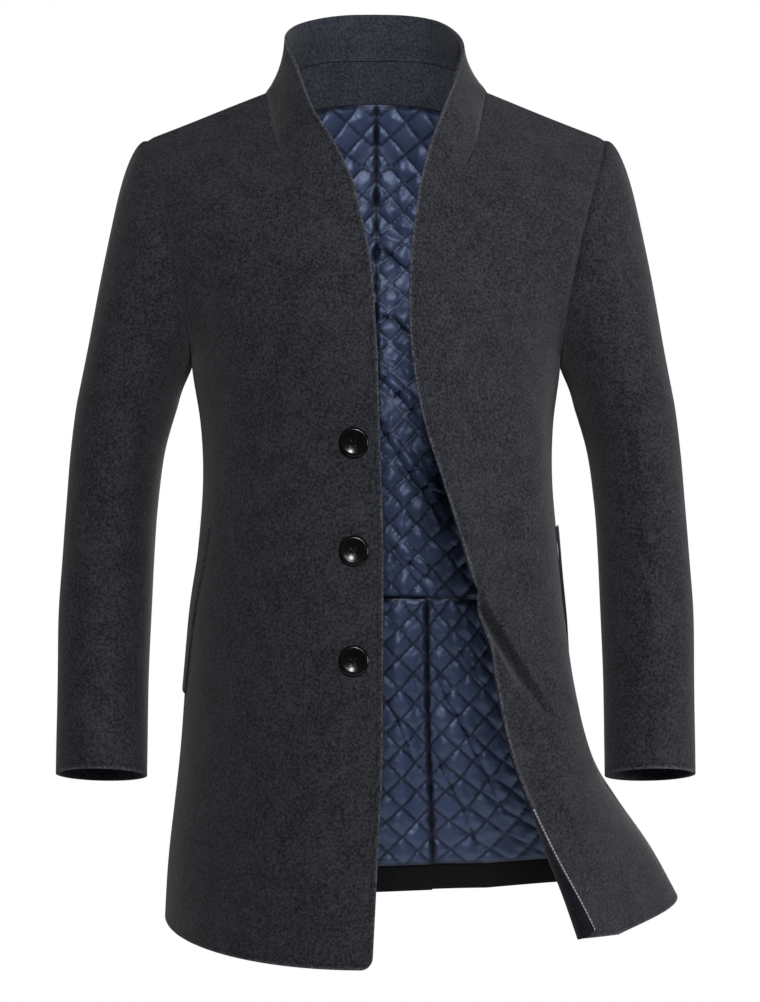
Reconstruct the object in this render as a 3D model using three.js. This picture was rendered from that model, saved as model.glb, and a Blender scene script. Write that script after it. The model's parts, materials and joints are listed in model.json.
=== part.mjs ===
// A wool overcoat with a standing collar, worn open, as one hollow form with nobody inside.
// Millimetres, +Z up, +X to the wearer's left, the front of the coat towards -Y.
// The origin is at the base of the neck, midway between the two shoulder points.
// Tables give places as [out, y, z]: out is measured sideways from the centre plane.

import * as THREE from 'three';
import { mergeVertices } from 'three/addons/utils/BufferGeometryUtils.js';

// Walls and the room between pieces
const CLOTH = 2.2;
const FACING = 1.3;
const LINING = 1.1;
const SEAM_GAP = 0.3;
const LINING_ROOM = 1.3;
const LINING_MARGIN = 9;

// Quilting of the lining: half a diamond across, and how far a diamond stands out
const QUILT_HALF = 16;
const QUILT_RISE = 3;

// Buttons and pocket welts
const BUTTON = {
  radius: 14, thickness: 4.4, base: 2, side: 1.4, shoulder: 1.2, rimOuter: 1.4, rimInner: 3.6,
  dishEdge: 5.2, dish: 1.4, segments: 20, room: 0.5,
};
const BUTTON_PLACES = [
  { out: 20, z: -350 },
  { out: 20, z: -450 },
  { out: 20, z: -550 },
];
const WELT = {
  width: 26,
  thickness: 2.4,
  room: 0.5,
  steps: 8,
  across: [0.5, 0.25, 0, -0.25, -0.5],
  top: { z: -432, fromSeam: 64 },
  bottom: { z: -600, fromSeam: 34 },
};

// Colours, as seen in an even light
const WOOL = { color: 0x2b2c30, roughness: 0.95, metalness: 0 };
const WOOL_INSIDE = { color: 0x2f3239, roughness: 0.95, metalness: 0 };
const SATIN = { color: 0x2a3550, roughness: 0.38, metalness: 0 };
const HORN = { color: 0x16161b, roughness: 0.3, metalness: 0 };

const RIGHT = -1;
const LEFT = 1;

// Side seams, from the hem up to the armpit. The left skirt swings out.
const SIDE_SEAM = {
  [RIGHT]: [
    { at: [214, 42, -828], heading: 90 },
    { at: [210.5, 40, -770], heading: 90 },
    { at: [204, 38, -710], heading: 90 },
    { at: [198.5, 36, -650], heading: 90 },
    { at: [193.5, 34, -590], heading: 90 },
    { at: [186.5, 30, -514], heading: 90 },
    { at: [179.5, 28, -450], heading: 90 },
    { at: [175.5, 26, -390], heading: 90 },
    { at: [178, 22, -330], heading: 90 },
    { at: [185, 12, -274], heading: 90 },
  ],
  [LEFT]: [
    { at: [296, 78, -812], heading: 122 },
    { at: [268, 70, -760], heading: 118 },
    { at: [231, 60, -705], heading: 110 },
    { at: [202, 47, -649], heading: 96 },
    { at: [190, 38, -590], heading: 91 },
    { at: [184, 30, -514], heading: 90 },
    { at: [179.5, 28, -450], heading: 90 },
    { at: [175.5, 26, -390], heading: 90 },
    { at: [178, 22, -330], heading: 90 },
    { at: [185, 12, -274], heading: 90 },
  ],
};

// Armhole, from just above the armpit up to the shoulder point, round the front and the back
const ARMHOLE_FRONT = [
  { at: [184, -24, -258], heading: 74 },
  { at: [188, -50, -218], heading: 58 },
  { at: [202, -60, -142], heading: 44 },
  { at: [214, -42, -99], heading: 34 },
  { at: [225, -15, -67], heading: 20 },
  { at: [230, 10, -46], heading: 2 },
];
const ARMHOLE_BACK = [
  { at: [184, 42, -258], heading: -74 },
  { at: [189, 63, -222], heading: -60 },
  { at: [200, 73, -165], heading: -46 },
  { at: [212, 62, -110], heading: -34 },
  { at: [224, 36, -68], heading: -20 },
  { at: [230, 10, -46], heading: 2 },
];

// Front panels: the front edge, then the line that the neck dart lies on, one row per section.
// Above the fourth row from the top the front edge belongs to the collar table.
const FRONT = {
  [RIGHT]: [
    { edge: [3, -163, -828], edgeHeading: 1, mid: [56, -157, -828], midHeading: 13 },
    { edge: [0, -159, -770], edgeHeading: 1, mid: [54, -154, -770], midHeading: 12 },
    { edge: [-3, -155, -710], edgeHeading: 1, mid: [53, -150, -710], midHeading: 12 },
    { edge: [-6, -151, -650], edgeHeading: 1, mid: [52, -146, -650], midHeading: 12 },
    { edge: [-6.5, -146, -590], edgeHeading: 1, mid: [52, -141, -590], midHeading: 12 },
    { edge: [-7, -140, -514], edgeHeading: 1, mid: [51, -135, -514], midHeading: 12 },
    { edge: [-7, -134, -450], edgeHeading: 1, mid: [51, -129, -450], midHeading: 12 },
    { edge: [-5.5, -131, -390], edgeHeading: 1, mid: [52, -126, -390], midHeading: 12 },
    { edge: [-3.5, -132, -330], edgeHeading: 1, mid: [53, -127, -330], midHeading: 12 },
    { edge: [-2, -135, -274], edgeHeading: 1, mid: [55, -130, -274], midHeading: 12 },
    { edge: [0, -135, -238], edgeHeading: 2, mid: [58, -130, -236], midHeading: 12 },
    { edge: [5, -131, -180], edgeHeading: 4, mid: [64, -125, -182], midHeading: 12 },
    { edge: [21, -118, -105], edgeHeading: 6, mid: [71, -108, -108], midHeading: 14 },
    { mid: [86, -84, -86], midHeading: 14 },
    { mid: [98, -54, -56], midHeading: 10 },
    { mid: [111, 5, 0], midHeading: 2 },
  ],
  [LEFT]: [
    { edge: [201, -157, -797], edgeHeading: 184, mid: [229, -98, -814], midHeading: 54 },
    { edge: [185, -156, -765], edgeHeading: 178, mid: [210, -106, -764], midHeading: 50 },
    { edge: [157, -153, -712], edgeHeading: 132, mid: [191, -116, -710], midHeading: 44 },
    { edge: [130, -152, -650], edgeHeading: 62, mid: [175, -122, -650], midHeading: 38 },
    { edge: [114, -152, -590], edgeHeading: 38, mid: [162, -121, -590], midHeading: 36 },
    { edge: [101, -150, -514], edgeHeading: 26, mid: [148, -119, -514], midHeading: 38 },
    { edge: [83, -152, -450], edgeHeading: 20, mid: [133, -118, -450], midHeading: 32 },
    { edge: [63, -150, -390], edgeHeading: 14, mid: [116, -120, -390], midHeading: 24 },
    { edge: [44, -149, -330], edgeHeading: 8, mid: [99, -124, -330], midHeading: 22 },
    { edge: [34, -147, -274], edgeHeading: 5, mid: [88, -126, -274], midHeading: 20 },
    { edge: [31, -145, -232], edgeHeading: 4, mid: [84, -127, -236], midHeading: 18 },
    { edge: [33, -137, -174], edgeHeading: 5, mid: [78, -124, -182], midHeading: 15 },
    { edge: [41, -121, -110], edgeHeading: 6, mid: [71, -108, -108], midHeading: 14 },
    { mid: [86, -84, -86], midHeading: 14 },
    { mid: [98, -54, -56], midHeading: 10 },
    { mid: [111, 5, 0], midHeading: 2 },
  ],
};

// Back panels: the centre back seam, then a line below the shoulder point, one row per section
const BACK = {
  [RIGHT]: [
    { edge: [0, 112, -828], edgeHeading: 0, mid: [115, 101, -828], midHeading: -12 },
    { edge: [0, 110, -770], edgeHeading: 0, mid: [114, 99, -770], midHeading: -12 },
    { edge: [0, 108, -710], edgeHeading: 0, mid: [112, 97, -710], midHeading: -12 },
    { edge: [0, 106, -650], edgeHeading: 0, mid: [110, 95, -650], midHeading: -12 },
    { edge: [0, 103, -590], edgeHeading: 0, mid: [108, 91, -590], midHeading: -13 },
  ],
  [LEFT]: [
    { edge: [0, 112, -828], edgeHeading: 9, mid: [118, 129, -828], midHeading: 2 },
    { edge: [0, 110, -770], edgeHeading: 7, mid: [117, 121, -770], midHeading: 0 },
    { edge: [0, 108, -710], edgeHeading: 4, mid: [114, 112, -710], midHeading: -4 },
    { edge: [0, 106, -650], edgeHeading: 2, mid: [111, 103, -650], midHeading: -8 },
    { edge: [0, 103, -590], edgeHeading: 0, mid: [108, 94, -590], midHeading: -12 },
  ],
  both: [
    { edge: [0, 98, -514], edgeHeading: 0, mid: [106, 85, -514], midHeading: -14 },
    { edge: [0, 93, -450], edgeHeading: 0, mid: [104, 79, -450], midHeading: -15 },
    { edge: [0, 90, -390], edgeHeading: 0, mid: [103, 76, -390], midHeading: -15 },
    { edge: [0, 94, -330], edgeHeading: 0, mid: [104, 81, -330], midHeading: -14 },
    { edge: [0, 102, -274], edgeHeading: 0, mid: [106, 90, -274], midHeading: -14 },
    { edge: [0, 106, -238], edgeHeading: 0, mid: [108, 95, -238], midHeading: -14 },
    { edge: [0, 111, -188], edgeHeading: 0, mid: [110, 99, -188], midHeading: -15 },
    { edge: [0, 113, -130], edgeHeading: 0, mid: [112, 97, -136], midHeading: -16 },
    { edge: [0, 108, -60], edgeHeading: 0, mid: [113, 80, -82], midHeading: -17 },
    {
      edge: [0, 93, 6], edgeHeading: 0, edgeRise: -1,
      mid: [113, 47, -32], midHeading: -17, midRise: -30,
    },
    {
      edge: [0, 79, 48], edgeHeading: 0, edgeRise: 0,
      mid: [111, 5, 0], midHeading: -72, midRise: -42, outHeading: 2,
    },
  ],
};

// Free edge of the collar, from the level of the dart's lower end round to the centre back.
// bow is how far the collar's face stands out from the straight line between base and edge.
const COLLAR_FRONT = {
  [RIGHT]: [
    { edge: [21, -118, -105], bow: 1 },
    { edge: [40, -102, -65], bow: 3 },
    { edge: [60, -80, -32], bow: 4 },
    { edge: [78, -44, 16], bow: 1 },
  ],
  [LEFT]: [
    { edge: [41, -121, -110], bow: 1 },
    { edge: [51, -107, -72], bow: 3 },
    { edge: [65, -86, -32], bow: 4 },
    { edge: [78, -54, 4], bow: 0 },
  ],
};
const COLLAR_BACK = {
  [RIGHT]: [
    { edge: [91, -14, 48], bow: -1 },
    { edge: [85, 22, 70], bow: -1 },
    { edge: [64, 51, 85], bow: -1 },
    { edge: [33, 68, 93], bow: -2 },
    { edge: [0, 74, 95], bow: -2 },
  ],
  [LEFT]: [
    { edge: [87, -20, 40], bow: -2 },
    { edge: [79, 19, 66], bow: -2 },
    { edge: [60, 49, 84], bow: -2 },
    { edge: [32, 67, 92.5], bow: -2 },
    { edge: [0, 74, 95], bow: -2 },
  ],
};

// Sleeve sections below the armpit. pitch swings the forearm's section forward.
const SLEEVE = [
  { at: [249, 12, -310], halfWide: 50.5, halfDeep: 70, pitch: 0 },
  { at: [259.5, 13, -360], halfWide: 46.5, halfDeep: 67, pitch: 2 },
  { at: [264.5, 10, -410], halfWide: 44.5, halfDeep: 64, pitch: 5 },
  { at: [267, 0, -464], halfWide: 44.5, halfDeep: 61, pitch: 10 },
  { at: [268, -14, -518], halfWide: 45, halfDeep: 58, pitch: 14 },
  { at: [267, -30, -572], halfWide: 44.5, halfDeep: 55, pitch: 17 },
  { at: [265.5, -46, -624], halfWide: 44, halfDeep: 52, pitch: 18 },
  { at: [264, -60, -671], halfWide: 43.5, halfDeep: 50, pitch: 18 },
];
const SLEEVE_CAP_RINGS = 6;
const CUFF_FACING_RINGS = 1;

// How the sleeve leaves the armhole and meets its first section: outward, sideways and down
const SLEEVE_CAP = {
  outLow: 2, outHigh: 28, side: 9, dropLow: -10, dropHigh: -2, flare: 0.085, hang: 0.42,
};

// Largest fold of the left front: a crease that runs down and outwards from the front edge
const FRONT_CREASE = {
  from: [97, -490], to: [146, -572], width: 17,
  ridge: 7, ridgeAt: 0.9, trough: 4, troughAt: -0.7, fade: 9, easing: 0.35,
};

// Folds of the lining, each from one place to another on the back, seen from the front
const LINING_FOLDS = [
  { from: [0, -330], to: [76, -446], rise: 7, width: 11 },
  { from: [0, -150], to: [20, -165], rise: 4, width: 9 },
  { from: [0, -290], to: [22, -312], rise: 4, width: 9 },
];

// The under sleeve takes this many columns of the armhole on each side of the armpit
const UNDER_SLEEVE = 5;

// The vent's underlap: how deep it lies behind the left back, and how many columns wide it is
const UNDERLAP_SINK = CLOTH + 0.6;
const LAP_COLUMNS = 2;

// Mesh steps of each table interval, and the columns of each panel
const ROW_STEPS = [2, 1, 2, 2, 2, 2, 1, 1, 1, 2, 2, 2, 2, 2, 2];
const ARMPIT_ROW = 9;
const DART_ROW = 12;
const VENT_ROW = 5;
const STRIP_COLUMNS = 4;
const OUTER_COLUMNS = 6;
const STRIP_SPACING = { front: [0, 0.16, 0.38, 0.68, 1], back: [0, 0.25, 0.5, 0.75, 1] };

// Limits on how far a wall's corner is stretched where two faces meet, and the mesh key's grain
const SHARPEST_MITRE = 0.55;
const LONGEST_INSET = 1.6;
const LEAST_INSET = 0.2;
const KEYS_PER_MM = 500;

const degrees = THREE.MathUtils.degToRad;
const lerp = THREE.MathUtils.lerp;
const vector = ([x, y, z]) => new THREE.Vector3(x, y, z);
const sum = (list) => list.reduce((total, value) => total + value, 0);

/** How far a smooth curve's handle reaches, for the angles that it leaves and arrives at. */
function reach(leave, arrive) {
  const wave = Math.SQRT2 * (Math.sin(leave) - Math.sin(arrive) / 16)
    * (Math.sin(arrive) - Math.sin(leave) / 16) * (Math.cos(leave) - Math.cos(arrive));
  const root = Math.sqrt(5);
  const spread = 1 + 0.5 * (root - 1) * Math.cos(leave) + 0.5 * (3 - root) * Math.cos(arrive);
  return (2 + wave) / (3 * spread);
}

/** A curve between two places that leaves and arrives on the given headings in plan view. */
function bend(from, leaveHeading, to, arriveHeading, leaveRise, arriveRise) {
  const chord = Math.atan2(to.y - from.y, to.x - from.x);
  const span = Math.hypot(to.x - from.x, to.y - from.y);
  const wrap = (angle) => Math.atan2(Math.sin(angle), Math.cos(angle));
  const leave = wrap(degrees(leaveHeading) - chord);
  const arrive = wrap(chord - degrees(arriveHeading));
  const first = span * reach(leave, arrive);
  const last = span * reach(arrive, leave);
  const drop = (to.z - from.z) / 3;
  const handleA = new THREE.Vector3(
    from.x + first * Math.cos(degrees(leaveHeading)),
    from.y + first * Math.sin(degrees(leaveHeading)),
    from.z + (leaveRise ?? drop),
  );
  const handleB = new THREE.Vector3(
    to.x - last * Math.cos(degrees(arriveHeading)),
    to.y - last * Math.sin(degrees(arriveHeading)),
    to.z - (arriveRise ?? drop),
  );
  return new THREE.CubicBezierCurve3(from, handleA, handleB, to);
}

/** A panel's section: u runs 0 to 1 over the strip by the edge, and 1 to 2 from there outwards. */
function section(row, seam) {
  const mid = vector(row.mid);
  const outer = bend(mid, row.outHeading ?? row.midHeading, vector(seam.at), seam.heading);
  const strip = row.edge
    ? bend(vector(row.edge), row.edgeHeading, mid, row.midHeading, row.edgeRise, row.midRise)
    : null;
  return (u) => (u < 1 ? strip.getPointAt(u) : outer.getPointAt(u - 1));
}

/** Places on a smooth line through the given ones, with so many steps in each interval. */
function through(points, steps) {
  const curve = new THREE.CatmullRomCurve3(points, false, 'centripetal');
  const places = [];
  steps.forEach((count, interval) => {
    for (let step = 0; step < count; step += 1) {
      places.push(curve.getPoint((interval + step / count) / steps.length));
    }
  });
  places.push(points[points.length - 1].clone());
  return places;
}

/** Mirrors places given as outward distances to their side of the centre plane. */
function toSide(grid, side) {
  const placed = (point) => new THREE.Vector3(point.x * side, point.y, point.z);
  return grid.map((row) => row.map((point) => (point ? placed(point) : null)));
}

/** The mesh row on which a table row lies. */
const meshRow = (tableRow) => sum(ROW_STEPS.slice(0, tableRow));

/** A grid of places over a panel: one list for each row, from the strip's edge to the seam. */
function panelGrid(rows, seamRows, stripSpacing, stripRows) {
  const sections = rows.map((row, index) => section(row, seamRows[index]));
  const columns = [];
  stripSpacing.slice(0, -1).forEach((u) => {
    const steps = ROW_STEPS.slice(0, stripRows);
    columns.push(through(sections.slice(0, stripRows + 1).map((curve) => curve(u)), steps));
  });
  for (let column = 0; column < OUTER_COLUMNS; column += 1) {
    columns.push(through(sections.map((curve) => curve(1 + column / OUTER_COLUMNS)), ROW_STEPS));
  }
  const seamPoints = seamRows.map((row) => vector(row.at));
  const sideLine = through(seamPoints.slice(0, ARMPIT_ROW + 1), ROW_STEPS.slice(0, ARMPIT_ROW));
  const holeLine = through(seamPoints.slice(ARMPIT_ROW), ROW_STEPS.slice(ARMPIT_ROW));
  columns.push([...sideLine.slice(0, -1), ...holeLine]);
  const count = columns[columns.length - 1].length;
  return Array.from({ length: count }, (_, row) => columns.map((column) => column[row] ?? null));
}

/** How far the front crease lifts a place: a ridge above its line and a trough below it. */
function creaseRise(point, crease) {
  const from = new THREE.Vector2(...crease.from);
  const along = new THREE.Vector2(...crease.to).sub(from);
  const offset = new THREE.Vector2(point.x, point.z).sub(from);
  const share = offset.dot(along) / along.lengthSq();
  const across = (offset.x * -along.y + offset.y * along.x) / along.length() / crease.width;
  const beyond = Math.max(0, -share, share - 1);
  const ends = Math.exp(-(beyond ** 2) * crease.fade);
  const strength = 1 - crease.easing * THREE.MathUtils.clamp(share, 0, 1);
  const ridge = crease.ridge * Math.exp(-((across - crease.ridgeAt) ** 2));
  const trough = crease.trough * Math.exp(-((across - crease.troughAt) ** 2));
  return ends * strength * (ridge - trough);
}

/** One piece of cloth before it has a thickness: places, how deep each lies, and triangles. */
class Sheet {
  constructor() {
    this.points = [];
    this.sinks = [];
    this.triangles = [];
    this.index = new Map();
  }

  /** Adds a place, or finds the one already there; a tag keeps the two lips of a slit apart. */
  place(point, sink = 0, tag = '') {
    const key = `${placeKey(point)}|${tag}`;
    if (!this.index.has(key)) {
      this.index.set(key, this.points.length);
      this.points.push(point);
      this.sinks.push(sink);
    }
    return this.index.get(key);
  }

  /** Adds a grid of places as pairs of triangles, wound the way that flip says. */
  addGrid(grid, { sink = () => 0, tag = () => '', flip = false } = {}) {
    const ids = grid.map((row, r) => row.map((point, c) => (
      point ? this.place(point, sink(r, c), tag(r, c)) : -1
    )));
    for (let r = 0; r + 1 < grid.length; r += 1) {
      for (let c = 0; c + 1 < grid[r].length; c += 1) {
        const [a, b, d, e] = [ids[r][c], ids[r][c + 1], ids[r + 1][c + 1], ids[r + 1][c]];
        if (Math.min(a, b, d, e) >= 0) {
          this.addTriangle(a, b, d, flip);
          this.addTriangle(a, d, e, flip);
        }
      }
    }
    return this;
  }

  addTriangle(a, b, c, flip) {
    if (new Set([a, b, c]).size === 3) {
      this.triangles.push(flip ? [a, c, b] : [a, b, c]);
    }
  }

  /** The face normal of a triangle, as long as the triangle is large. */
  faceNormal([a, b, c]) {
    const u = this.points[b].clone().sub(this.points[a]);
    const v = this.points[c].clone().sub(this.points[a]);
    return u.cross(v);
  }
}

/** One text for all the places that count as the same one. */
function placeKey(point) {
  return point.toArray().map((value) => Math.round(value * KEYS_PER_MM)).join(',');
}

/** The normals at the places of some sheets, each face weighted by its corner's angle. */
function placeNormals(sheets) {
  const found = new Map();
  sheets.forEach((sheet) => sheet.triangles.forEach((triangle) => {
    const normal = sheet.faceNormal(triangle).normalize();
    triangle.forEach((id, corner) => {
      const here = sheet.points[id];
      const one = sheet.points[triangle[(corner + 1) % 3]].clone().sub(here);
      const other = sheet.points[triangle[(corner + 2) % 3]].clone().sub(here);
      const key = placeKey(here);
      const total = found.get(key) ?? new THREE.Vector3();
      found.set(key, total.addScaledVector(normal, one.angleTo(other)));
    });
  }));
  found.forEach((normal) => normal.normalize());
  return found;
}

/** The edges that only one triangle uses, in the order in which that triangle runs them. */
function openEdges(triangles) {
  const uses = new Map();
  triangles.forEach(([a, b, c]) => {
    [[a, b], [b, c], [c, a]].forEach(([from, to]) => {
      const key = from < to ? `${from},${to}` : `${to},${from}`;
      uses.set(key, [...(uses.get(key) ?? []), [from, to]]);
    });
  });
  return [...uses.values()].filter((list) => list.length === 1).map((list) => list[0]);
}

/** Where each place moves so that the sheet's edges keep half a seam gap to their neighbours. */
function edgeInsets(sheet, own) {
  const insets = sheet.points.map(() => []);
  openEdges(sheet.triangles).forEach(([from, to]) => {
    const along = sheet.points[to].clone().sub(sheet.points[from]).normalize();
    [from, to].forEach((id) => insets[id].push(own[id].clone().cross(along).normalize()));
  });
  return insets.map((list) => {
    const total = list.reduce((all, inward) => all.add(inward), new THREE.Vector3());
    const length = total.length();
    if (list.length === 0 || length < LEAST_INSET) {
      return new THREE.Vector3();
    }
    const mitre = Math.min(LONGEST_INSET, list.length / length);
    return total.normalize().multiplyScalar((SEAM_GAP / 2) * mitre);
  });
}

/**
 * Gives a sheet its wall. The outer face lies sunk below the sheet's places, the inner face a
 * thickness further in, and rims close the edges.
 */
function wall(sheet, thickness, { depth = 0, normals, backs = null, rise = null } = {}) {
  const ownAt = placeNormals([sheet]);
  const own = sheet.points.map((point) => ownAt.get(placeKey(point)));
  const insets = edgeInsets(sheet, own);
  const outer = [];
  const inner = [];
  sheet.points.forEach((point, id) => {
    const shared = normals?.get(placeKey(point)) ?? own[id];
    const mitre = 1 / Math.max(SHARPEST_MITRE, shared.dot(own[id]));
    const place = point.clone().add(insets[id]);
    const sunk = (depth + sheet.sinks[id]) * mitre;
    const lift = rise ? rise[id] : 0;
    outer.push(place.clone().addScaledVector(shared, -sunk));
    inner.push(place.clone().addScaledVector(shared, -(sunk + thickness * mitre + lift)));
  });
  const count = sheet.points.length;
  const faces = (backs ?? sheet.triangles).map((triangle) => [...triangle]);
  sheet.triangles.forEach(([a, b, c]) => faces.push([a + count, c + count, b + count]));
  openEdges(sheet.triangles).forEach(([from, to]) => {
    if (placeKey(sheet.points[from]) < placeKey(sheet.points[to])) {
      faces.push([from, to + count, to], [from, from + count, to + count]);
    } else {
      faces.push([from, from + count, to], [from + count, to + count, to]);
    }
  });
  return solid([...outer, ...inner], faces);
}

/** A geometry from places and triangles, turned the right way out, with no unused place. */
function solid(points, faces) {
  const volume = sum(faces.map(([a, b, c]) => points[a].dot(points[b].clone().cross(points[c]))));
  const turned = volume < 0 ? faces.map(([a, b, c]) => [a, c, b]) : faces;
  const kept = new Map();
  const numbers = [];
  const index = turned.flat().map((id) => {
    if (!kept.has(id)) {
      kept.set(id, kept.size);
      numbers.push(...points[id].toArray());
    }
    return kept.get(id);
  });
  const geometry = new THREE.BufferGeometry();
  geometry.setAttribute('position', new THREE.Float32BufferAttribute(numbers, 3));
  geometry.setIndex(index);
  geometry.computeVertexNormals();
  return geometry;
}

/** The place and normal at fractional columns and rows of a grid, on its own triangles. */
function onGrid(grid, normals, column, row) {
  const c = Math.min(Math.floor(column), grid[0].length - 2);
  const r = Math.min(Math.floor(row), grid.length - 2);
  const [s, t] = [column - c, row - r];
  const corners = [grid[r][c], grid[r][c + 1], grid[r + 1][c + 1], grid[r + 1][c]];
  const weights = s > t ? [1 - s, s - t, t, 0] : [1 - t, 0, s, t - s];
  const point = new THREE.Vector3();
  const normal = new THREE.Vector3();
  corners.forEach((corner, k) => {
    point.addScaledVector(corner, weights[k]);
    normal.addScaledVector(normals.get(placeKey(corner)), weights[k]);
  });
  return { point, normal: normal.normalize() };
}

/** The columns and rows of a grid that lie at an outward distance and a height. */
function locate(grid, side, out, z) {
  for (let r = 0; r + 1 < grid.length; r += 1) {
    for (let c = 0; c + 1 < grid[r].length; c += 1) {
      const [a, b, e] = [grid[r][c], grid[r][c + 1], grid[r + 1][c]];
      const column = (out * side - a.x) / (b.x - a.x);
      const row = (z - a.z) / (e.z - a.z);
      if (column >= 0 && column <= 1 && row >= 0 && row <= 1) {
        return { column: c + column, row: r + row };
      }
    }
  }
  throw new Error(`no place at ${out}, ${z}`);
}

const coat = new THREE.Group();

/** Names a geometry, gives it its finish and adds it to the coat. */
function addPiece(name, geometry, finish) {
  const mesh = new THREE.Mesh(geometry, new THREE.MeshStandardMaterial(finish));
  mesh.name = name;
  coat.add(mesh);
  return mesh;
}

const sideName = (side) => (side === RIGHT ? 'right' : 'left');

/** The front panel's grid, with the strip's places above the dart left out. */
function frontGrid(side) {
  const seam = [...SIDE_SEAM[side], ...ARMHOLE_FRONT];
  const grid = panelGrid(FRONT[side], seam, STRIP_SPACING.front, DART_ROW);
  if (side === LEFT) {
    grid.forEach((row) => row.slice(0, -1).filter(Boolean).forEach((point) => {
      point.y -= creaseRise(point, FRONT_CREASE);
    }));
  }
  return toSide(grid, side);
}

/** The back panel's grid. */
function backGrid(side) {
  const rows = [...BACK[side], ...BACK.both];
  const seam = [
    ...SIDE_SEAM[side].map((row) => ({ at: row.at, heading: row.heading - 180 })),
    ...ARMHOLE_BACK,
  ];
  return toSide(panelGrid(rows, seam, STRIP_SPACING.back, rows.length - 1), side);
}

/** The collar's half that is cut in one with the front: rows from the dart's end to the back. */
function collarGrid(side, front, back) {
  const top = back[back.length - 1];
  const lip = front.slice(meshRow(DART_ROW)).map((row) => row[STRIP_COLUMNS]);
  const base = [...lip, ...top.slice(0, STRIP_COLUMNS).reverse()];
  const table = [...COLLAR_FRONT[side], ...COLLAR_BACK[side]];
  const edgePoints = table.map((row) => vector([row.edge[0] * side, row.edge[1], row.edge[2]]));
  const frontSteps = COLLAR_FRONT[side].length - 1;
  const curve = new THREE.CatmullRomCurve3(edgePoints, false, 'centripetal');
  return base.map((place, row) => {
    if (row === 0) {
      return front[meshRow(DART_ROW)].slice(0, STRIP_COLUMNS + 1);
    }
    const backShare = (row - lip.length + 1) / STRIP_COLUMNS;
    const at = row < lip.length
      ? (row / (lip.length - 1)) * frontSteps
      : frontSteps + backShare * (table.length - 1 - frontSteps);
    const edge = curve.getPoint(at / (table.length - 1));
    const [low, high] = [Math.floor(at), Math.min(Math.floor(at) + 1, table.length - 1)];
    const bow = lerp(table[low].bow, table[high].bow, at - low);
    const outward = new THREE.Vector3(place.x, place.y + 1, 0).normalize();
    return STRIP_SPACING.front.map((u) => {
      if (u === 1) {
        return place;
      }
      return edge.clone().lerp(place, u).addScaledVector(outward, bow * 4 * u * (1 - u));
    });
  });
}

/** The rings of a sleeve, from the armhole down to the cuff. */
function sleeveRings(side, front, back) {
  const armpit = meshRow(ARMPIT_ROW);
  const hole = [
    ...front.slice(armpit).map((row) => row[row.length - 1]),
    ...back.slice(armpit, -1).map((row) => row[row.length - 1]).reverse(),
  ].slice(0, -1);
  const half = hole.length / 2;
  const angles = hole.map((_, k) => Math.PI * (k / half));
  const rings = SLEEVE.map((row) => angles.map((angle) => {
    const deep = -Math.sin(angle) * row.halfDeep;
    const wide = -Math.cos(angle) * row.halfWide;
    return new THREE.Vector3(
      (row.at[0] + wide) * side,
      row.at[1] + deep * Math.cos(degrees(row.pitch)),
      row.at[2] - deep * Math.sin(degrees(row.pitch)),
    );
  }));
  const cap = hole.map((start, k) => {
    const end = rings[0][k];
    const upper = (1 - Math.cos(angles[k])) / 2;
    const sidewise = Math.sin(angles[k]);
    const fall = start.z - end.z;
    const leave = new THREE.Vector3(
      lerp(SLEEVE_CAP.outLow, SLEEVE_CAP.outHigh, upper) * side,
      -sidewise * SLEEVE_CAP.side,
      lerp(SLEEVE_CAP.dropLow, SLEEVE_CAP.dropHigh, upper),
    );
    const arrive = new THREE.Vector3(-SLEEVE_CAP.flare * fall * side, 0, SLEEVE_CAP.hang * fall);
    const handles = [start.clone().add(leave), end.clone().add(arrive)];
    return new THREE.CubicBezierCurve3(start, handles[0], handles[1], end);
  });
  const capRings = Array.from({ length: SLEEVE_CAP_RINGS }, (_, ring) => (
    cap.map((curve, k) => (ring === 0 ? hole[k] : curve.getPoint(ring / SLEEVE_CAP_RINGS)))
  ));
  return [...capRings, ...rings];
}

/** Part of a ring grid, from one column round to another. */
function ringPart(rings, from, to) {
  return rings.map((ring) => Array.from(
    { length: to - from + 1 },
    (_, k) => ring[(from + k + ring.length) % ring.length],
  ));
}

const fronts = { [RIGHT]: frontGrid(RIGHT), [LEFT]: frontGrid(LEFT) };
const backs = { [RIGHT]: backGrid(RIGHT), [LEFT]: backGrid(LEFT) };
const collars = {
  [RIGHT]: collarGrid(RIGHT, fronts[RIGHT], backs[RIGHT]),
  [LEFT]: collarGrid(LEFT, fronts[LEFT], backs[LEFT]),
};
const sleeves = {
  [RIGHT]: sleeveRings(RIGHT, fronts[RIGHT], backs[RIGHT]),
  [LEFT]: sleeveRings(LEFT, fronts[LEFT], backs[LEFT]),
};

const ventTop = meshRow(VENT_ROW);
const dartRow = meshRow(DART_ROW);

/** The front as one cut piece: body, slit by the neck dart, and half of the collar. */
function frontSheet(side) {
  const grid = fronts[side];
  const flip = side === RIGHT;
  return new Sheet()
    .addGrid(grid, { flip })
    .addGrid(collars[side], { flip, tag: (r, c) => (r > 0 && c === STRIP_COLUMNS ? 'collar' : '') });
}

/** The back as one cut piece. The right back also has the vent's underlap. */
function backSheet(side) {
  const grid = backs[side];
  const flip = side === LEFT;
  const sheet = new Sheet();
  const underlapped = (r, c) => side === RIGHT && c === 0 && r < ventTop;
  sheet.addGrid(grid, { flip, sink: (r, c) => (underlapped(r, c) ? UNDERLAP_SINK : 0) });
  if (side === RIGHT) {
    const lap = backs[LEFT].slice(0, ventTop).map((row) => row.slice(0, LAP_COLUMNS + 1));
    sheet.addGrid(lap, { flip: true, sink: () => UNDERLAP_SINK });
  }
  return sheet;
}

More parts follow.
